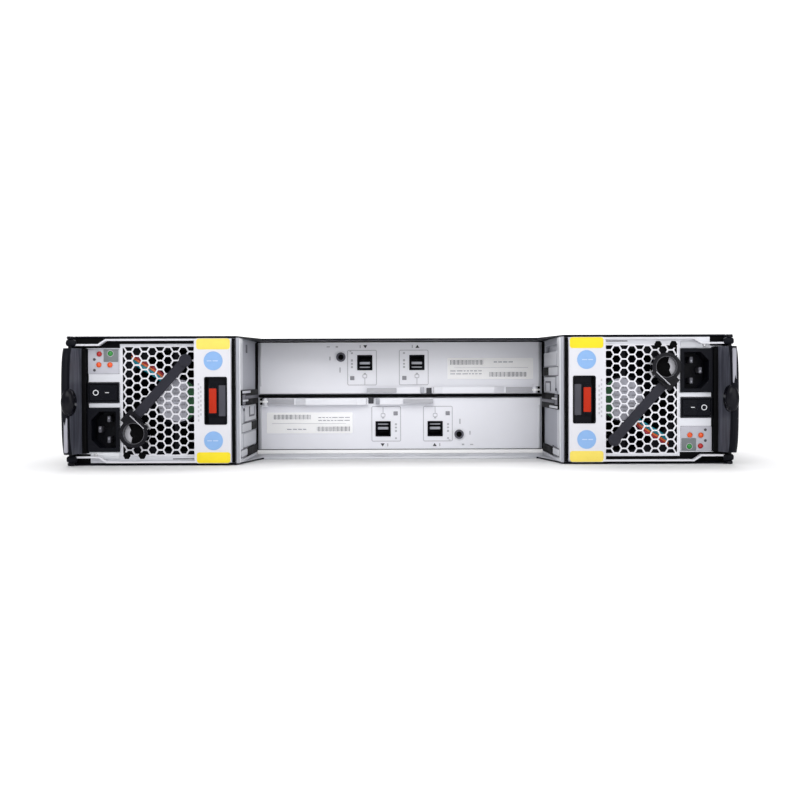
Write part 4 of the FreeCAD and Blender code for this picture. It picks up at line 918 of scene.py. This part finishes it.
FOOT_PIECES = (
    # Painted shade at the foot's far end and round its pipe.
    ("foot_dark", 35.0, 97.0, -39.4, -33.8, 1.3, SHADOW_BLACK, 0.4),
    ("foot_shade", 0.6, 34.0, -39.0, -33.0, 1.1, DARK_STEEL, 0.6),
    ("foot_pipe", 1.6, 32.0, -38.0, -33.8, 1.6, BRIGHT_STEEL, 1.2),
    ("foot_fold", 6.0, 97.0, -41.6, -39.8, 1.2, BRIGHT_STEEL, 0.4),
)
WALL_X = -107.5
X_FOR_Y = Matrix(((0, 1, 0, 0), (1, 0, 0, 0), (0, 0, 1, 0), (0, 0, 0, 1)))


def wall_pieces(side):
    """Rim, folds, bracket, raised panel, dark slot and foot on one wall of the recess, with
    painted shade in its folds, slots and gaps and painted highlights along the bracket.

    The right wall's pieces are the left wall's: turned half round, or mirrored at the foot."""
    mirror = Matrix.Diagonal((1 if side == "left" else -1, 1, 1, 1))
    for pieces, turn in ((WALL_PIECES, POWER_SIDES[side]), (FOOT_PIECES, mirror)):
        place = turn @ drawing_at(FACE_Y, MID_Z)
        for name, near, far, low, high, proud, material, corner in pieces:
            outline = rounded_outline(far - near, high - low, corner)
            shape = extruded(outline, WALL_X - 0.02, WALL_X + proud)
            shape.transform(Matrix.Translation((0, (near + far) / 2, (low + high) / 2)) @ X_FOR_Y)
            add(f"{name}_{side}", shape, "chassis", material, place, 0.12)


def liner(plan, low, high):
    """A level plate with a plan of (x, y) corners, between two heights."""
    shape = bmesh.new()
    rows = [[shape.verts.new((x, y, z)) for x, y in plan] for z in (low, high)]
    shape.faces.new(rows[0][::-1])
    shape.faces.new(rows[1])
    for i in range(len(plan)):
        j = (i + 1) % len(plan)
        shape.faces.new((rows[0][i], rows[0][j], rows[1][j], rows[1][i]))
    return shape


def recess_pieces():
    """Painted shade in the gaps above, between and below the modules and at the posts, a white
    sill face that glows a little as painted light, and the plated liner of the floor.
    """
    def fixed(name, shape, material):
        add(name, shape, "chassis", material, drawing_at(IO_FACE_Y, 0), 0.1)

    def across(name, low, high, y_front, y_back, half, material):
        corners = [(-half, low), (half, low), (half, high), (-half, high)]
        fixed(name, extruded(corners, y_front, y_back), material)

    mid, bay_half = IO_MID_Z / MM, 106.5
    # Black bars of painted shade in the gaps.
    across("gap_bar", mid - 1.0, mid + 1.0, -0.6, 1.9, bay_half, SHADOW_BLACK)
    across("gap_top", 84.65, 85.15, -1.0, 1.0, bay_half, SHADOW_BLACK)
    across("gap_floor", 4.65, 4.95, -0.6, 0.0, bay_half, SHADOW_BLACK)
    # The sill's face glows a little: painted light.
    across("sill_face", 1.7, 4.5, -0.3, 0.0, bay_half, GLOWING_WHITE)
    for name, sign in (("post_left", -1), ("post_right", 1)):
        # Each post is a black strip of painted shade beside a grey fold.
        fixed(name, plate(sign * 106.7, mid, 1.5, 79.6, -0.2, 1.4, 0.2), SHADOW_BLACK)
        fixed(f"{name}_fold", plate(sign * 105.4, mid, 1.0, 79.2, -0.2, 1.4, 0.2), BAY_STEEL)
    near, corner, back = -40.2, -87.5, -0.5     # depths of the floor's edge, corners and end
    plan = [(-98.3, near), (98.3, near), (107.2, corner), (107.2, back), (-107.2, back),
            (-107.2, corner)]
    fixed("floor_liner", liner(plan, 1.25, 1.6), BRIGHT_STEEL)
    across("floor_edge", 0.1, 1.6, -40.3, -39.9, 97.5, BRIGHT_STEEL)


dress_frame()
for each_side in POWER_SIDES:
    power_pieces(each_side)
for each_level in IO_LEVELS:
    io_pieces(each_level)
for each_side in POWER_SIDES:
    wall_pieces(each_side)
recess_pieces()


# ---------------------------------------------------------------- stage, light and camera

BACKDROP_RUN = ((-6.0, 0.0), (0.9, 0.0), (1.25, 0.03), (1.55, 0.15), (1.75, 0.4), (1.85, 0.8),
                (1.9, 4.0))             # depth and height of the floor and its sweep, in metres
BACKDROP_HALF = 7.0
GLOW_FROM, GLOW_TO, GLOW = 0.02, 0.9, 0.45      # the backdrop glows with height, up to a level
WORLD_LIGHT = 0.5
LIGHTS = (  # name, place, aim, size, power
    ("key", (-0.4, -1.8, 1.15), (0, -0.2, 0.04), 1.3, 14),
    ("fill", (0.9, -1.9, 0.7), (0, -0.2, 0.04), 1.4, 9),
    ("top", (0, 1.1, 1.6), (0, -0.2, 0.0), 1.6, 30),
)
CAMERA_LENS, CAMERA_SENSOR = 57.24, 36
CAMERA_DISTANCE, CAMERA_RISE = 0.85, 0.014      # from the rear faces, and above mid height
CAMERA_ROLL = math.radians(-0.2)


def build_stage():
    """A pale floor that sweeps up into a backdrop."""
    shape = bmesh.new()
    left, right = [[shape.verts.new((x, y, z)) for y, z in BACKDROP_RUN]
                   for x in (-BACKDROP_HALF, BACKDROP_HALF)]
    for i in range(len(BACKDROP_RUN) - 1):
        shape.faces.new((left[i], right[i], right[i + 1], left[i + 1]))
    mesh = bpy.data.meshes.new("backdrop")
    shape.to_mesh(mesh)
    shape.free()
    for face in mesh.polygons:
        face.use_smooth = True
    backdrop = bpy.data.objects.new("backdrop", mesh)
    bpy.context.collection.objects.link(backdrop)
    material, tree, principled = shader("backdrop_paper", (0.93, 0.93, 0.94), roughness=0.9)
    mottle = noise(tree, grain_coordinates(tree), scale=3.0, detail=2.0)
    tint(tree, principled, mottle, (0.92, 0.92, 0.93), (0.94, 0.94, 0.95))
    principled.inputs["Emission Color"].default_value = WHITE
    place = node(tree, "ShaderNodeTexCoord")
    parts = node(tree, "ShaderNodeSeparateXYZ")
    tree.links.new(place.outputs["Object"], parts.inputs["Vector"])
    tree.links.new(spread(tree, parts.outputs["Z"], 0.0, GLOW, GLOW_FROM, GLOW_TO),
                   principled.inputs["Emission Strength"])
    mesh.materials.append(material)


def area_light(name, place, aim, size, power):
    data = bpy.data.lights.new(name, "AREA")
    data.energy = power
    data.size = size
    lamp = bpy.data.objects.new(name, data)
    bpy.context.collection.objects.link(lamp)
    lamp.location = place
    lamp.rotation_euler = (Vector(aim) - Vector(place)).to_track_quat("-Z", "Y").to_euler()


def build_lights():
    """An even white surround, and three soft lamps."""
    world = bpy.data.worlds.new("studio")
    world.use_nodes = True
    background = world.node_tree.nodes["Background"]
    background.inputs["Color"].default_value = WHITE
    background.inputs["Strength"].default_value = WORLD_LIGHT
    bpy.context.scene.world = world
    for light in LIGHTS:
        area_light(*light)


def build_camera():
    """Straight on to the rear, from a little above mid height."""
    data = bpy.data.cameras.new("camera")
    data.lens = CAMERA_LENS
    data.sensor_width = CAMERA_SENSOR
    data.clip_start = 0.01
    camera = bpy.data.objects.new("camera", data)
    bpy.context.collection.objects.link(camera)
    place = Vector((0, FACE_Y - CAMERA_DISTANCE, MID_Z + CAMERA_RISE))
    aim = Vector((0, FACE_Y, MID_Z))
    turn = (aim - place).to_track_quat("-Z", "Y").to_matrix().to_4x4()
    camera.matrix_world = (Matrix.Translation(place) @ turn
                           @ Matrix.Rotation(CAMERA_ROLL, 4, "Z"))
    bpy.context.scene.camera = camera
    bpy.context.scene.view_settings.view_transform = "Standard"


build_stage()
build_lights()
build_camera()
